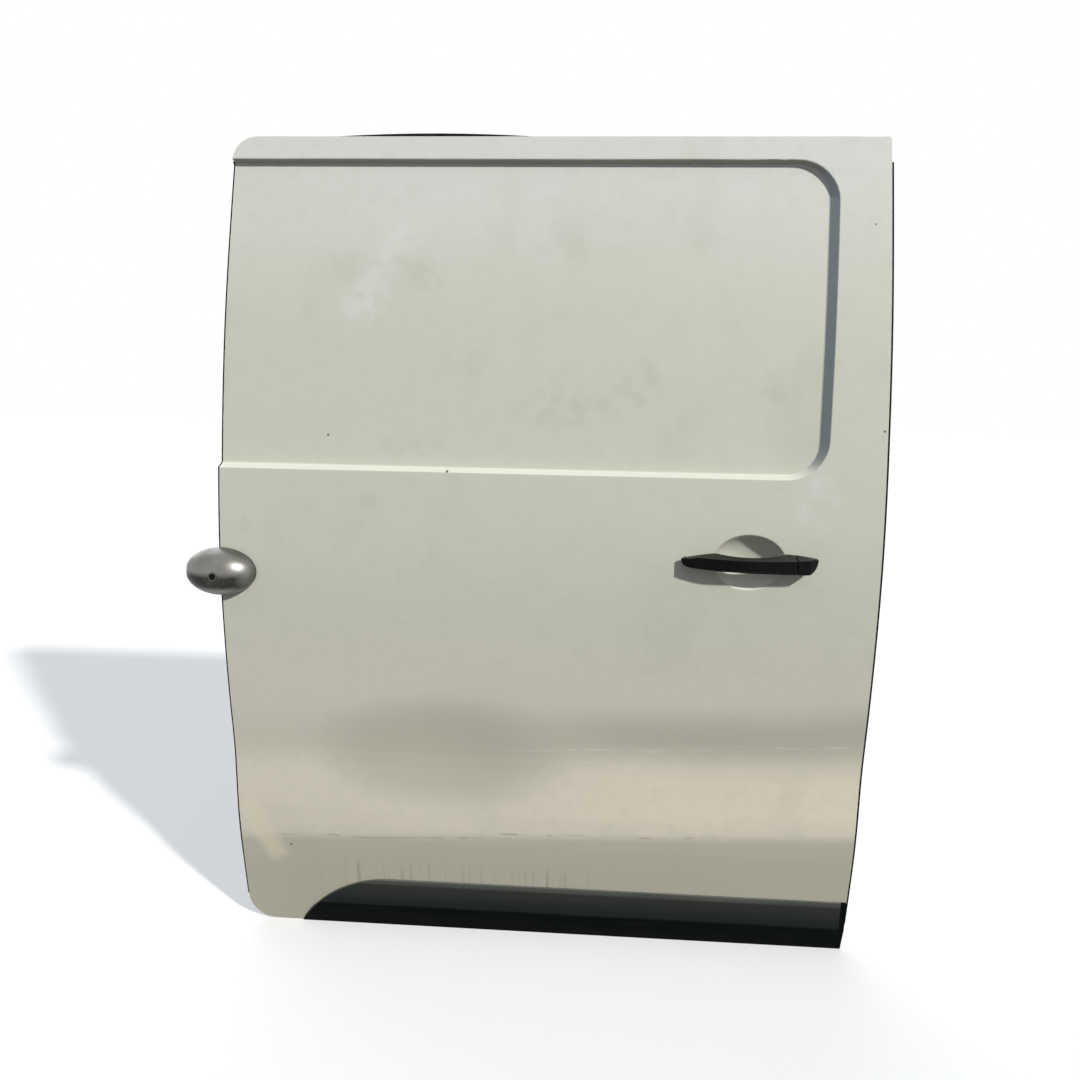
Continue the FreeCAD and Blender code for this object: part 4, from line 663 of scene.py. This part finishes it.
# %% Black mouldings and rubber
# The grey on upward faces is partly dust and partly a painted sheen of the sky.
DUST_AND_SHEEN_GREY = rgb(82, 81, 76)
DUST_AND_SHEEN_PALE = rgb(92, 90, 84)
UPWARD_DUST_AND_SHEEN = (0.15, 0.75)
UPWARD_DUST_AND_SHEEN_SHARE = 0.40
LEDGE_LEAST, LEDGE_RANGE = 0.45, 0.5
FILM_RANGE = (0.40, 0.75)
PLASTIC_ROUGHNESS_RANGE = 0.15
BLACK_FINISHES = {
    "black_moulding": {"colour": rgb(6, 6, 7), "dust": DUST_AND_SHEEN_GREY, "film": 0.03, "roughness": 0.36,
                       "grain_scale": 900, "grain_height": 0.00005, "shine": 0.06},
    "seal_rubber": {"colour": rgb(10, 10, 10), "dust": DUST_AND_SHEEN_GREY, "film": 0.05, "roughness": 0.60,
                    "grain_scale": 300, "grain_height": 0.00004, "shine": 0.10},
    "roller_nylon": {"colour": rgb(30, 30, 29), "dust": DUST_AND_SHEEN_GREY, "film": 0.25, "roughness": 0.42,
                     "grain_scale": 200, "grain_height": 0.00003, "shine": 0.30},
    "lining_card": {"colour": rgb(62, 62, 61), "dust": DUST_AND_SHEEN_PALE, "film": 0.16, "roughness": 0.60,
                    "grain_scale": 420, "grain_height": 0.00022, "shine": 0.25},
}


def black_plastic(name, colour, dust, film, roughness, grain_scale, grain_height, shine):
    finish, shader, flow = new_finish(name, Specular_IOR_Level=shine)
    cloud = grain(flow, scale=14.0, detail=5.0)
    upward_dust_and_sheen = surface_lean(flow, 2).ease(*UPWARD_DUST_AND_SHEEN) * (LEDGE_LEAST + cloud * LEDGE_RANGE)
    all_over = cloud.ease(*FILM_RANGE) * film
    feed(shader, "Base Color", (upward_dust_and_sheen * UPWARD_DUST_AND_SHEEN_SHARE + all_over).tint(colour, dust))
    feed(shader, "Roughness", roughness + cloud * PLASTIC_ROUGHNESS_RANGE)
    relief(shader, grain(flow, scale=grain_scale, detail=2.0) * grain_height)
    return finish


for title, settings in BLACK_FINISHES.items():
    finishes[title] = black_plastic(title, **settings)
print("black finishes", list(BLACK_FINISHES))

# %% [markdown]
# The cladding is the same plastic with a coarser grain. Its upper facet is a faded grey that darkens
# towards the ridge as painted shade, with a pale painted highlight along its top rim and on faces that
# look up. Its lower facet, which looks at the ground, is black, so the ridge between the two splits the
# colour. Its front end is black as painted shade, and streaks and specks of dust lie over it all.

# %% Cladding
# The worn colour near the ridge is painted shade. The dust colour is a painted highlight along the top
# rim and on upward faces, and dust in the streaks and specks. The black at the front end is painted
# shade.
CLADDING_FADED = rgb(46, 48, 46)
CLADDING_RIDGE_SHADE = rgb(31, 35, 36)
CLADDING_BLACK_AND_SHADE = rgb(3, 6, 6)
CLADDING_DUST_AND_HIGHLIGHT = rgb(104, 106, 101)
CLADDING_FRONT, _, CLADDING_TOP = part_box("sill_cladding")[1]
RIDGE_HEIGHT = -0.700
RIDGE_SOFT = 0.006
RIDGE_WANDER = 0.004
FADED_TO = CLADDING_TOP - 0.012
TOP_RIM_HIGHLIGHT = (CLADDING_TOP - 0.013, CLADDING_TOP - 0.006)
TOP_RIM_HIGHLIGHT_LEAST, TOP_RIM_HIGHLIGHT_RANGE = 0.15, 0.45
EDGE_LEAN = (0.18, 0.36)
EDGE_HIGHLIGHT_LEAST, EDGE_HIGHLIGHT_RANGE = 0.45, 0.7
STREAK_RANGE = (0.52, 0.72)
STREAK_SHARE = 0.03
CLADDING_SPECK_SHARE = 0.6
SHADED_FRONT_END = (CLADDING_FRONT - 0.011, CLADDING_FRONT - 0.009)
CLADDING_ROUGHNESS, CLADDING_ROUGHNESS_RANGE = 0.42, 0.2
CLADDING_GRAIN = 0.00010


def cladding_plastic():
    finish, shader, flow = new_finish("cladding", Specular_IOR_Level=0.035)
    x, _, z = places(flow)
    cloud = grain(flow, scale=12.0, detail=5.0, stretch=(0.5, 1.0, 1.6))
    upper = z.ease(RIDGE_HEIGHT, FADED_TO).tint(CLADDING_RIDGE_SHADE, CLADDING_FADED)
    over_ridge = (z + cloud * RIDGE_WANDER).ease(RIDGE_HEIGHT, RIDGE_HEIGHT + RIDGE_SOFT)
    colour = over_ridge.tint(CLADDING_BLACK_AND_SHADE, upper)
    top_rim_highlight = z.ease(*TOP_RIM_HIGHLIGHT) * (TOP_RIM_HIGHLIGHT_LEAST + cloud * TOP_RIM_HIGHLIGHT_RANGE)
    colour = top_rim_highlight.tint(colour, CLADDING_DUST_AND_HIGHLIGHT)
    edge_highlight = surface_lean(flow, 2).ease(*EDGE_LEAN) * (EDGE_HIGHLIGHT_LEAST + cloud * EDGE_HIGHLIGHT_RANGE)
    colour = edge_highlight.tint(colour, CLADDING_DUST_AND_HIGHLIGHT)
    streaks = grain(flow, scale=1.0, detail=4.0, stretch=(8.0, 1.0, 160.0)).ease(*STREAK_RANGE)
    colour = (streaks * STREAK_SHARE).tint(colour, CLADDING_DUST_AND_HIGHLIGHT)
    specked = specks(flow, scale=18.0, size=0.0016, share=0.2) * CLADDING_SPECK_SHARE
    colour = specked.tint(colour, CLADDING_DUST_AND_HIGHLIGHT)
    feed(shader, "Base Color", x.ease(*SHADED_FRONT_END).tint(colour, CLADDING_BLACK_AND_SHADE))
    feed(shader, "Roughness", CLADDING_ROUGHNESS + cloud * CLADDING_ROUGHNESS_RANGE)
    relief(shader, grain(flow, scale=600.0, detail=2.0) * CLADDING_GRAIN)
    return finish


finishes["cladding"] = cladding_plastic()
print("cladding from", round(cad_box[0][2], 3), "to", round(CLADDING_TOP, 3))

# %% [markdown]
# ## Metals
# The core of the lock is black, its ring is bright, and the arms, latches and hinge pad are zinc plated
# steel with a cloudy, yellow bloom. They differ only in their colours and their polish, so one function
# makes all three.

# %% Plain metals
BLOOM_RANGE = (0.4, 0.7)
METAL_ROUGHNESS_RANGE = 0.14
METAL_BRUSHING = 0.000012
METALS = {
    "bright_ring": {"colour": rgb(92, 91, 89), "bloom": rgb(60, 59, 57), "roughness": 0.14,
                    "cloud_scale": 60.0, "bloom_share": 0.3},
    "lock_core": {"colour": rgb(34, 33, 32), "bloom": rgb(18, 17, 16), "roughness": 0.34,
                  "cloud_scale": 120.0, "bloom_share": 0.6},
    "plated_steel": {"colour": rgb(170, 167, 156), "bloom": rgb(132, 124, 100), "roughness": 0.36,
                     "cloud_scale": 30.0, "bloom_share": 0.7},
}


def metal(name, colour, bloom, roughness, cloud_scale, bloom_share):
    finish, shader, flow = new_finish(name, Metallic=1.0)
    cloud = grain(flow, scale=cloud_scale, detail=5.0)
    feed(shader, "Base Color", (cloud.ease(*BLOOM_RANGE) * bloom_share).tint(colour, bloom))
    feed(shader, "Roughness", roughness + cloud * METAL_ROUGHNESS_RANGE)
    relief(shader, grain(flow, scale=700.0, detail=2.0, stretch=(0.2, 1.0, 1.0)) * METAL_BRUSHING)
    return finish


for title, settings in METALS.items():
    finishes[title] = metal(title, **settings)
print("metals", list(METALS))

# %% [markdown]
# The lock's dome is satin stainless steel, brushed along its length. A dark band goes round it at the
# height of the key core and fades to the right, which is a painted reflection, and its foot is dark
# where water stands. Only the dome has these, so it gets a finish of its own.

# %% Satin steel of the lock
# The dark band is a painted reflection, and the same dark colour stains the foot.
STEEL_PALE = rgb(132, 131, 128)
STEEL_DARK_REFLECTION_AND_STAIN = rgb(46, 45, 43)
STEEL_STAIN = rgb(96, 94, 88)
BAND_LOW, BAND_HIGH, BAND_SOFT, BAND_WANDER = -0.068, -0.041, 0.007, 0.006
BAND_END = (-0.042, -0.016)
BAND_END_SHARE = 0.75
STAIN_HEIGHT = (-0.082, -0.072)
LOW_STAIN_SHARE = 0.55
LOCK_FOOT = (-0.0745, -0.0737)
FOOT_SHARE = 0.85
CLOUD_STAIN = (0.45, 0.75)
CLOUD_STAIN_SHARE = 0.5
BRUSHED_RANGE = (0.4, 0.7)
BRUSHED_SHARE = 0.25
BRUSHED_HEIGHT = 0.00001
STEEL_ROUGHNESS, CLOUD_ROUGHNESS, BRUSHED_ROUGHNESS = 0.28, 0.12, 0.06


def lock_steel():
    finish, shader, flow = new_finish("lock_steel", Metallic=1.0)
    x, y, z = places(flow)
    cloud = grain(flow, scale=30.0, detail=5.0)
    band = between(z + cloud * BAND_WANDER, BAND_LOW, BAND_HIGH, BAND_SOFT)
    band = band * (1 - x.ease(*BAND_END) * BAND_END_SHARE)
    colour = band.tint(STEEL_PALE, STEEL_DARK_REFLECTION_AND_STAIN)
    lower = 1 - z.ease(*STAIN_HEIGHT)
    colour = (lower * LOW_STAIN_SHARE).tint(colour, STEEL_STAIN)
    colour = (y.ease(*LOCK_FOOT) * FOOT_SHARE).tint(colour, STEEL_DARK_REFLECTION_AND_STAIN)
    colour = (cloud.ease(*CLOUD_STAIN) * CLOUD_STAIN_SHARE).tint(colour, STEEL_STAIN)
    brushed = grain(flow, scale=1.0, detail=3.0, stretch=(60.0, 900.0, 900.0))
    lines = brushed.ease(*BRUSHED_RANGE) * BRUSHED_SHARE
    feed(shader, "Base Color", lines.tint(colour, STEEL_STAIN))
    feed(shader, "Roughness", STEEL_ROUGHNESS + cloud * CLOUD_ROUGHNESS + brushed * BRUSHED_ROUGHNESS)
    relief(shader, brushed * BRUSHED_HEIGHT)
    return finish


finishes["lock_steel"] = lock_steel()
print("finishes", len(finishes))

# %% [markdown]
# ## Softening the solids
# The solids have knife-sharp edges, and their meshes are loose triangles. Real pressings and mouldings
# have small radii that catch the light. A copy of each node is merged into one surface, its flat
# triangles are joined, and its sharp edges are bevelled. The copy then stands for the node, and the
# node itself stays untouched.

# %% Helpers for working on one piece
MERGE = 0.00001
FLAT_ANGLE = 0.3
SHARP_ANGLE = 35
BEVEL_STEPS = 2
FACE_WEIGHT = 80


def pick(piece):
    bpy.ops.object.select_all(action="DESELECT")
    piece.select_set(True)
    bpy.context.view_layer.objects.active = piece


def finish_with(piece, kind, **settings):
    pick(piece)
    bpy.ops.object.modifier_add(type=kind)
    modifier = piece.modifiers[-1]
    for name, value in settings.items():
        setattr(modifier, name, value)
    bpy.ops.object.modifier_apply(modifier=modifier.name)


def round_edges(piece, width, corner):
    finish_with(piece, "BEVEL", width=width * MM, segments=BEVEL_STEPS, limit_method="ANGLE",
                angle_limit=math.radians(corner), use_clamp_overlap=True)


def merged_copy(node, name):
    pick(nodes[node])
    bpy.ops.object.duplicate()
    piece = bpy.context.object
    piece.name = name
    bpy.ops.object.mode_set(mode="EDIT")
    bpy.ops.mesh.select_all(action="SELECT")
    bpy.ops.mesh.customdata_custom_splitnormals_clear()
    bpy.ops.mesh.remove_doubles(threshold=MERGE)
    bpy.ops.mesh.dissolve_limited(angle_limit=math.radians(FLAT_ANGLE))
    bpy.ops.object.mode_set(mode="OBJECT")
    return piece


def wear(piece, slot, body, *replaced):
    piece.data.materials.clear()
    piece.data.materials.append(finishes[slot])
    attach(piece, body)
    if replaced:
        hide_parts(*replaced)


def smooth(piece, angle):
    pick(piece)
    bpy.ops.object.shade_smooth_by_angle(angle=math.radians(angle))
    finish_with(piece, "WEIGHTED_NORMAL", keep_sharp=True, weight=FACE_WEIGHT)


# %% [markdown]
# ## Places for the fasteners
# Bolts, screws, clips and plugs sit on the solids. Their depths could be typed in, but then a changed
# solid would leave them in the air. A ray is shot at the solid instead, and the fastener takes the spot
# and the lean of what it hits. The rays look at the door's inner side, its front end or its rear end.

# %% Seats of the bolts and screws
AT_INNER_SIDE = Vector((0, -1, 0))
AT_FRONT_END = Vector((-1, 0, 0))
AT_REAR_END = Vector((1, 0, 0))
FAR = 2.0
UPPER_BOLTS_ALONG, UPPER_BOLTS_HEIGHT = (0.952, 1.010), 0.6420
LOWER_BOLTS_ALONG, LOWER_BOLTS_HEIGHTS = (0.858, 0.934), (-0.653, -0.6785)
FRONT_LATCH_DEPTH, FRONT_LATCH_SCREWS = -0.0333, (-0.091, -0.067, -0.009)
REAR_LATCH_DEPTH, REAR_LATCH_SCREWS = -0.0233, (-0.231, -0.207, -0.149)
WEDGES = [("guide_wedge_upper", 0.380, 0.0056), ("guide_wedge_lower", -0.420, 0.0038)]
WEDGE_STEP = 0.019
CONTACT_DEPTH, CONTACT_HEIGHT, CONTACT_STEP = -0.0217, -0.230, 0.0295
BEZEL_SCREW_ALONG, BEZEL_SCREW_HEIGHT = 0.840, 0.020


def seat(node, along, across, height, look):
    start = Vector((along, across, height)) - look * FAR
    hit, place, normal, _ = nodes[node].ray_cast(start, look)
    if not hit:
        raise ValueError(f"nothing of {node} at {along}, {across}, {height}")
    return place, normal


def inner_seat(node, along, height):
    return seat(node, along, 0, height, AT_INNER_SIDE)


bolt_seats = [inner_seat("upper_arm", along, UPPER_BOLTS_HEIGHT) for along in UPPER_BOLTS_ALONG]
for along in LOWER_BOLTS_ALONG:
    bolt_seats += [inner_seat("lower_arm", along, height) for height in LOWER_BOLTS_HEIGHTS]
screw_seats = []
for height in FRONT_LATCH_SCREWS:
    screw_seats.append(seat("front_latch", 0, FRONT_LATCH_DEPTH, height, AT_FRONT_END))
for height in REAR_LATCH_SCREWS:
    screw_seats.append(seat("rear_latch", 0, REAR_LATCH_DEPTH, height, AT_REAR_END))
for wedge, middle, depth in WEDGES:
    for step in (-WEDGE_STEP, WEDGE_STEP):
        screw_seats.append(seat(wedge, 0, depth, middle + step, AT_FRONT_END))
for step in (-CONTACT_STEP, CONTACT_STEP):
    screw_seats.append(seat("contact_plate", 0, CONTACT_DEPTH, CONTACT_HEIGHT + step, AT_FRONT_END))
screw_seats.append(inner_seat("inner_handle_bezel", BEZEL_SCREW_ALONG, BEZEL_SCREW_HEIGHT))
print("bolts", len(bolt_seats), "screws", len(screw_seats))

# %% [markdown]
# The lining is held by push clips round its border, rubber plugs close the holes that paint drains from,
# and a row of weld spots goes round the window opening. All come in even rows, so each row is a loop.

# %% Seats of the lining clips, the plugs and the weld spots
CLIP_COLUMNS, CLIP_ROWS = (0.120, 0.330, 0.540, 0.740, 0.930), (0.117, -0.542)
CLIP_SIDES, CLIP_HEIGHTS = (0.070, 0.973), (-0.060, -0.240, -0.420)
LOW_PLUGS_ALONG, LOW_PLUGS_HEIGHT = (0.050, 0.271, 0.487, 0.720), -0.630
POST_PLUGS = [("window_post_rear", -0.032), ("window_post_front", 1.008)]
POST_PLUG_HEIGHTS = (0.290, 0.500)
HEADER_PLUGS_ALONG, HEADER_PLUGS_HEIGHT = (0.200, 0.500, 0.800), 0.664
WELD_ROWS = [("window_header", 0.638), ("inner_panel", 0.160)]
WELD_REAR, WELD_STEP, WELDS_ALONG = 0.11, 0.065, 13
WELD_POSTS = [("window_post_rear", 0.000), ("window_post_front", 0.976)]
WELD_FOOT, WELD_RISE, WELDS_UP = 0.24, 0.060, 6

clip_places = [(along, height) for along in CLIP_COLUMNS for height in CLIP_ROWS]
clip_places += [(along, height) for along in CLIP_SIDES for height in CLIP_HEIGHTS]
clip_seats = [inner_seat("lining_panel", along, height) for along, height in clip_places]
plug_seats = [inner_seat("inner_panel", along, LOW_PLUGS_HEIGHT) for along in LOW_PLUGS_ALONG]
for post, along in POST_PLUGS:
    plug_seats += [inner_seat(post, along, height) for height in POST_PLUG_HEIGHTS]
plug_seats += [inner_seat("window_header", along, HEADER_PLUGS_HEIGHT) for along in HEADER_PLUGS_ALONG]
weld_seats = []
for sheet, height in WELD_ROWS:
    weld_seats += [inner_seat(sheet, WELD_REAR + WELD_STEP * n, height) for n in range(WELDS_ALONG)]
for post, along in WELD_POSTS:
    weld_seats += [inner_seat(post, along, WELD_FOOT + WELD_RISE * n) for n in range(WELDS_UP)]
print("clips", len(clip_seats), "plugs", len(plug_seats), "weld spots", len(weld_seats))

# %% [markdown]
# ## Turned heads
# Every head here starts as a cylinder whose foot is at the origin, standing up along Z. Faces and edges
# are picked by their height and lean. The top is inset and pushed in, and the rim is bevelled, as on
# a lathe.

# %% Picking faces and edges in code
RIM_FROM = 0.9
FACING_UP = 0.9


def clear_picks(piece):
    pick(piece)
    bpy.ops.object.mode_set(mode="EDIT")
    bpy.ops.mesh.select_all(action="DESELECT")
    bpy.ops.object.mode_set(mode="OBJECT")


def pick_faces(piece, test):
    clear_picks(piece)
    for face in piece.data.polygons:
        face.select = test(face.center, face.normal)
    bpy.ops.object.mode_set(mode="EDIT")
    bpy.ops.mesh.select_mode(type="FACE")


def pick_edges(piece, test):
    clear_picks(piece)
    for edge in piece.data.edges:
        edge.select = all(test(piece.data.vertices[corner].co) for corner in edge.vertices)
    bpy.ops.object.mode_set(mode="EDIT")
    bpy.ops.mesh.select_mode(type="EDGE")


# Sizes in millimetres
def turned_head(name, sides, radius, height, rim):
    bpy.ops.object.select_all(action="DESELECT")
    bpy.ops.mesh.primitive_cylinder_add(vertices=sides, radius=radius * MM, depth=height * MM,
                                        location=(0, 0, height * MM / 2))
    head = bpy.context.object
    head.name = name
    bpy.ops.object.transform_apply(location=True, rotation=True, scale=True)
    pick_edges(head, lambda place: place.z > RIM_FROM * height * MM)
    bpy.ops.mesh.bevel(offset=rim * MM, segments=BEVEL_STEPS, affect="EDGES")
    bpy.ops.object.mode_set(mode="OBJECT")
    return head


def sink_top(head, border, depth):
    top = max(vertex.co.z for vertex in head.data.vertices)
    pick_faces(head, lambda centre, normal: normal.z > FACING_UP and centre.z > top - MERGE)
    bpy.ops.mesh.inset(thickness=border * MM)
    bpy.ops.mesh.extrude_region_move(TRANSFORM_OT_translate={"value": (0, 0, -depth * MM)})
    bpy.ops.object.mode_set(mode="OBJECT")


# %% [markdown]
# The bolt is a hexagon on a round flange. The hexagon is made as a second head and joined to the first,
# because a flange of 24 sides has no edges for it. The screw has a round socket, the clip a sunk pin,
# the plug a dished top and the weld spot a shallow dimple.

# %% One head of each kind
def joined(first, second):
    bpy.ops.object.select_all(action="DESELECT")
    second.select_set(True)
    first.select_set(True)
    bpy.context.view_layer.objects.active = first
    bpy.ops.object.join()
    return first


hexagon = turned_head("hexagon", sides=6, radius=6.2, height=6.5, rim=0.7)
sink_top(hexagon, border=1.4, depth=0.5)
flange = turned_head("bolt_head", sides=24, radius=8.2, height=1.8, rim=0.6)
bolt_head = joined(flange, hexagon)
screw_head = turned_head("screw_head", sides=18, radius=4.2, height=2.4, rim=1.0)
sink_top(screw_head, border=1.0, depth=1.2)
clip_head = turned_head("clip_head", sides=20, radius=9.0, height=2.6, rim=1.1)
sink_top(clip_head, border=3.0, depth=0.8)
plug_head = turned_head("plug_head", sides=24, radius=12.0, height=1.8, rim=0.8)
sink_top(plug_head, border=3.2, depth=0.9)
weld_head = turned_head("weld_head", sides=10, radius=3.2, height=0.4, rim=0.15)
sink_top(weld_head, border=0.8, depth=0.35)
print("bolt faces", len(bolt_head.data.polygons), "screw faces", len(screw_head.data.polygons))

# %% [markdown]
# Each head is now copied to its seats, every copy is stood up on the surface's lean, and the copies of
# one kind are joined into one piece that rides with the door. A hundred loose pieces would do too, but
# they would have to be named and carried one by one.

# %% Set the heads on their seats
def set_heads(head, name, slot_name, seats):
    copies = []
    for place, normal in seats:
        pick(head)
        bpy.ops.object.duplicate()
        copy = bpy.context.object
        lean = normal.to_track_quat("Z", "Y").to_matrix().to_4x4()
        copy.matrix_world = Matrix.Translation(place) @ lean
        bpy.ops.object.transform_apply(location=True, rotation=True, scale=True)
        copies.append(copy)
    bpy.ops.object.select_all(action="DESELECT")
    for copy in copies:
        copy.select_set(True)
    bpy.context.view_layer.objects.active = copies[0]
    bpy.ops.object.join()
    piece = bpy.context.object
    piece.name = name
    pick(piece)
    bpy.ops.object.shade_smooth_by_angle(angle=math.radians(SHARP_ANGLE))
    wear(piece, slot_name, "door")
    bpy.data.objects.remove(head)
    print(name, len(seats), "copies,", len(piece.data.polygons), "faces")


set_heads(bolt_head, "arm_bolts", "plated_steel", bolt_seats)
set_heads(screw_head, "fitting_screws", "plated_steel", screw_seats)
set_heads(clip_head, "lining_clips", "black_moulding", clip_seats)
set_heads(plug_head, "panel_plugs", "seal_rubber", plug_seats)
set_heads(weld_head, "weld_spots", "shell_paint", weld_seats)

# %% [markdown]
# ## The key core
# The plug of the lock has an upright slot for its key. A dark stripe in the finish would look flat when
# the core turns, so the slot is cut out of a copy of the plug with a Boolean modifier: a bar of the
# slot's size is made, its long edges are rounded, and it is taken away from the plug.

# %% Key slot
SLOT_WIDTH, SLOT_DEPTH, SLOT_HEIGHT = 1.9, 3.0, 7.4
SLOT_ROUND = 0.4
CORE_ROUND = 0.25
CORE_CORNER = 50
CORE_SMOOTH = 40

plug_low, plug_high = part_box("lock_plug")
plug_middle = [(low + high) / 2 for low, high in zip(plug_low, plug_high)]
key_core = merged_copy("lock_plug", "key_core_slotted")
bpy.ops.object.select_all(action="DESELECT")
bpy.ops.mesh.primitive_cube_add(size=MM, location=(plug_middle[0], plug_low[1], plug_middle[2]))
slot_bar = bpy.context.object
slot_bar.scale = (SLOT_WIDTH, 2 * SLOT_DEPTH, SLOT_HEIGHT)
bpy.ops.object.transform_apply(location=True, rotation=True, scale=True)
finish_with(slot_bar, "BEVEL", width=SLOT_ROUND * MM, segments=BEVEL_STEPS, limit_method="ANGLE")
finish_with(key_core, "BOOLEAN", operation="DIFFERENCE", object=slot_bar, solver="EXACT")
bpy.data.objects.remove(slot_bar)
round_edges(key_core, CORE_ROUND, CORE_CORNER)
smooth(key_core, CORE_SMOOTH)
wear(key_core, "lock_core", "key_core", "lock_plug")
print("key core faces", len(key_core.data.polygons))

# %% [markdown]
# ## The pressed skin
# The skin's folds are round already, so its copy only needs a hair of rounding at the hem and the holes.
# The real skin also has two shallow dents. They could be a bump in the paint, but dented metal bends its
# reflections, so the skin is cut into a fine grid there with bisect and pulled in with proportional
# editing.

# %% Pressed skin
HEM_ROUND = 0.6
HEM_CORNER = 50
SKIN_SMOOTH = 40
GRID_REAR, GRID_STEP_ALONG, GRID_CUTS_ALONG = -0.06, 0.03, 22
GRID_FOOT, GRID_STEP_UP, GRID_CUTS_UP = -0.62, 0.02, 18
DENT_CORE = 0.02
DENTS = [
    {"centre": (0.330, -0.395), "depth": 0.0035, "reach": 0.17},
    {"centre": (-0.022, -0.545), "depth": 0.0020, "reach": 0.085},
]


def cut_across(piece, place, normal):
    pick(piece)
    bpy.ops.object.mode_set(mode="EDIT")
    bpy.ops.mesh.select_all(action="SELECT")
    bpy.ops.mesh.bisect(plane_co=place, plane_no=normal)
    bpy.ops.object.mode_set(mode="OBJECT")


def press_dent(piece, centre, depth, reach):
    clear_picks(piece)
    chosen = 0
    for vertex in piece.data.vertices:
        vertex.select = math.hypot(vertex.co.x - centre[0], vertex.co.z - centre[1]) < DENT_CORE
        chosen += vertex.select
    bpy.ops.object.mode_set(mode="EDIT")
    bpy.ops.mesh.select_mode(type="VERT")
    bpy.ops.transform.translate(value=(0, depth, 0), use_proportional_edit=True,
                                proportional_edit_falloff="SMOOTH", proportional_size=reach)
    bpy.ops.object.mode_set(mode="OBJECT")
    print("dent at", centre, "pulled from", chosen, "points")


skin = merged_copy("outer_skin", "door_skin")
for cut in range(GRID_CUTS_ALONG):
    cut_across(skin, (GRID_REAR + GRID_STEP_ALONG * cut, 0, 0), (1, 0, 0))
for cut in range(GRID_CUTS_UP):
    cut_across(skin, (0, 0, GRID_FOOT + GRID_STEP_UP * cut), (0, 0, 1))
for dent in DENTS:
    press_dent(skin, **dent)
round_edges(skin, HEM_ROUND, HEM_CORNER)
smooth(skin, SKIN_SMOOTH)
wear(skin, "body_paint", "door", "outer_skin")
print("skin faces", len(skin.data.polygons))

# %% [markdown]
# ## Everything else with soft edges
# The other nodes need only one bevel each, in millimetres: thin sheet takes a hair's breadth, mouldings
# take more. Each copy wears the finish of its node's slot and rides on its node's body, both of which
# the frame's record gives.

# %% Soften the other solids
EDGE_ROUND = {
    "handle_bar": 1.2,
    "handle_cap": 1.2,
    "sill_cladding": 0.9,
    "lock_body": 0.8,
    "lock_base_plate": 0.4,
    "lock_cylinder_ring": 0.35,
    "inner_panel": 0.4,
    "window_post_rear": 0.4,
    "window_post_front": 0.4,
    "window_header": 0.4,
    "belt_rail": 0.4,
    "panel_brace_rear": 0.4,
    "panel_brace_front": 0.4,
    "lining_panel": 0.8,
    "inner_handle_bezel": 2.0,
    "inner_handle_lever": 2.0,
    "upper_arm": 0.6,
    "lower_arm": 0.6,
    "hinge_pad": 0.6,
    "front_latch": 1.0,
    "rear_latch": 1.0,
    "upper_roller": 1.2,
    "guide_roller_rear": 1.2,
    "guide_roller_front": 1.2,
    "lower_load_roller": 1.5,
    "guide_wedge_upper": 2.0,
    "guide_wedge_lower": 2.0,
    "buffer_upper": 2.0,
    "buffer_lower": 2.0,
    "contact_plate": 0.6,
    "front_edge_seal": 1.0,
    "rear_edge_seal": 1.0,
    "top_edge_seal": 1.0,
}
record = frame["record"]
slot_of = {part["node"]: part["material_slot"] for part in record["subparts"]}
body_of = {node: body for body, members in record["behaviour"]["bodies"].items() for node in members}


def soften(node, width):
    piece = merged_copy(node, node + "_soft")
    round_edges(piece, width, SHARP_ANGLE)
    smooth(piece, SHARP_ANGLE)
    wear(piece, slot_of[node], body_of[node], node)
    print(piece.name, "faces", len(piece.data.polygons))


for node, width in EDGE_ROUND.items():
    soften(node, width)

# %% [markdown]
# ## Finishes for the solids that stay
# The few nodes that keep their own mesh take the finish that their slot names. The loaded solids carry
# plain stand-in materials with the slots' names, so those are exchanged one for one.

# %% Paint the remaining nodes
painted = 0
for solid in nodes.values():
    if solid.data.materials:
        slot_name = solid.data.materials[0].name.split(".")[0]
        if slot_name in finishes:
            solid.data.materials[0] = finishes[slot_name]
            painted += 1
print("solids painted", painted)
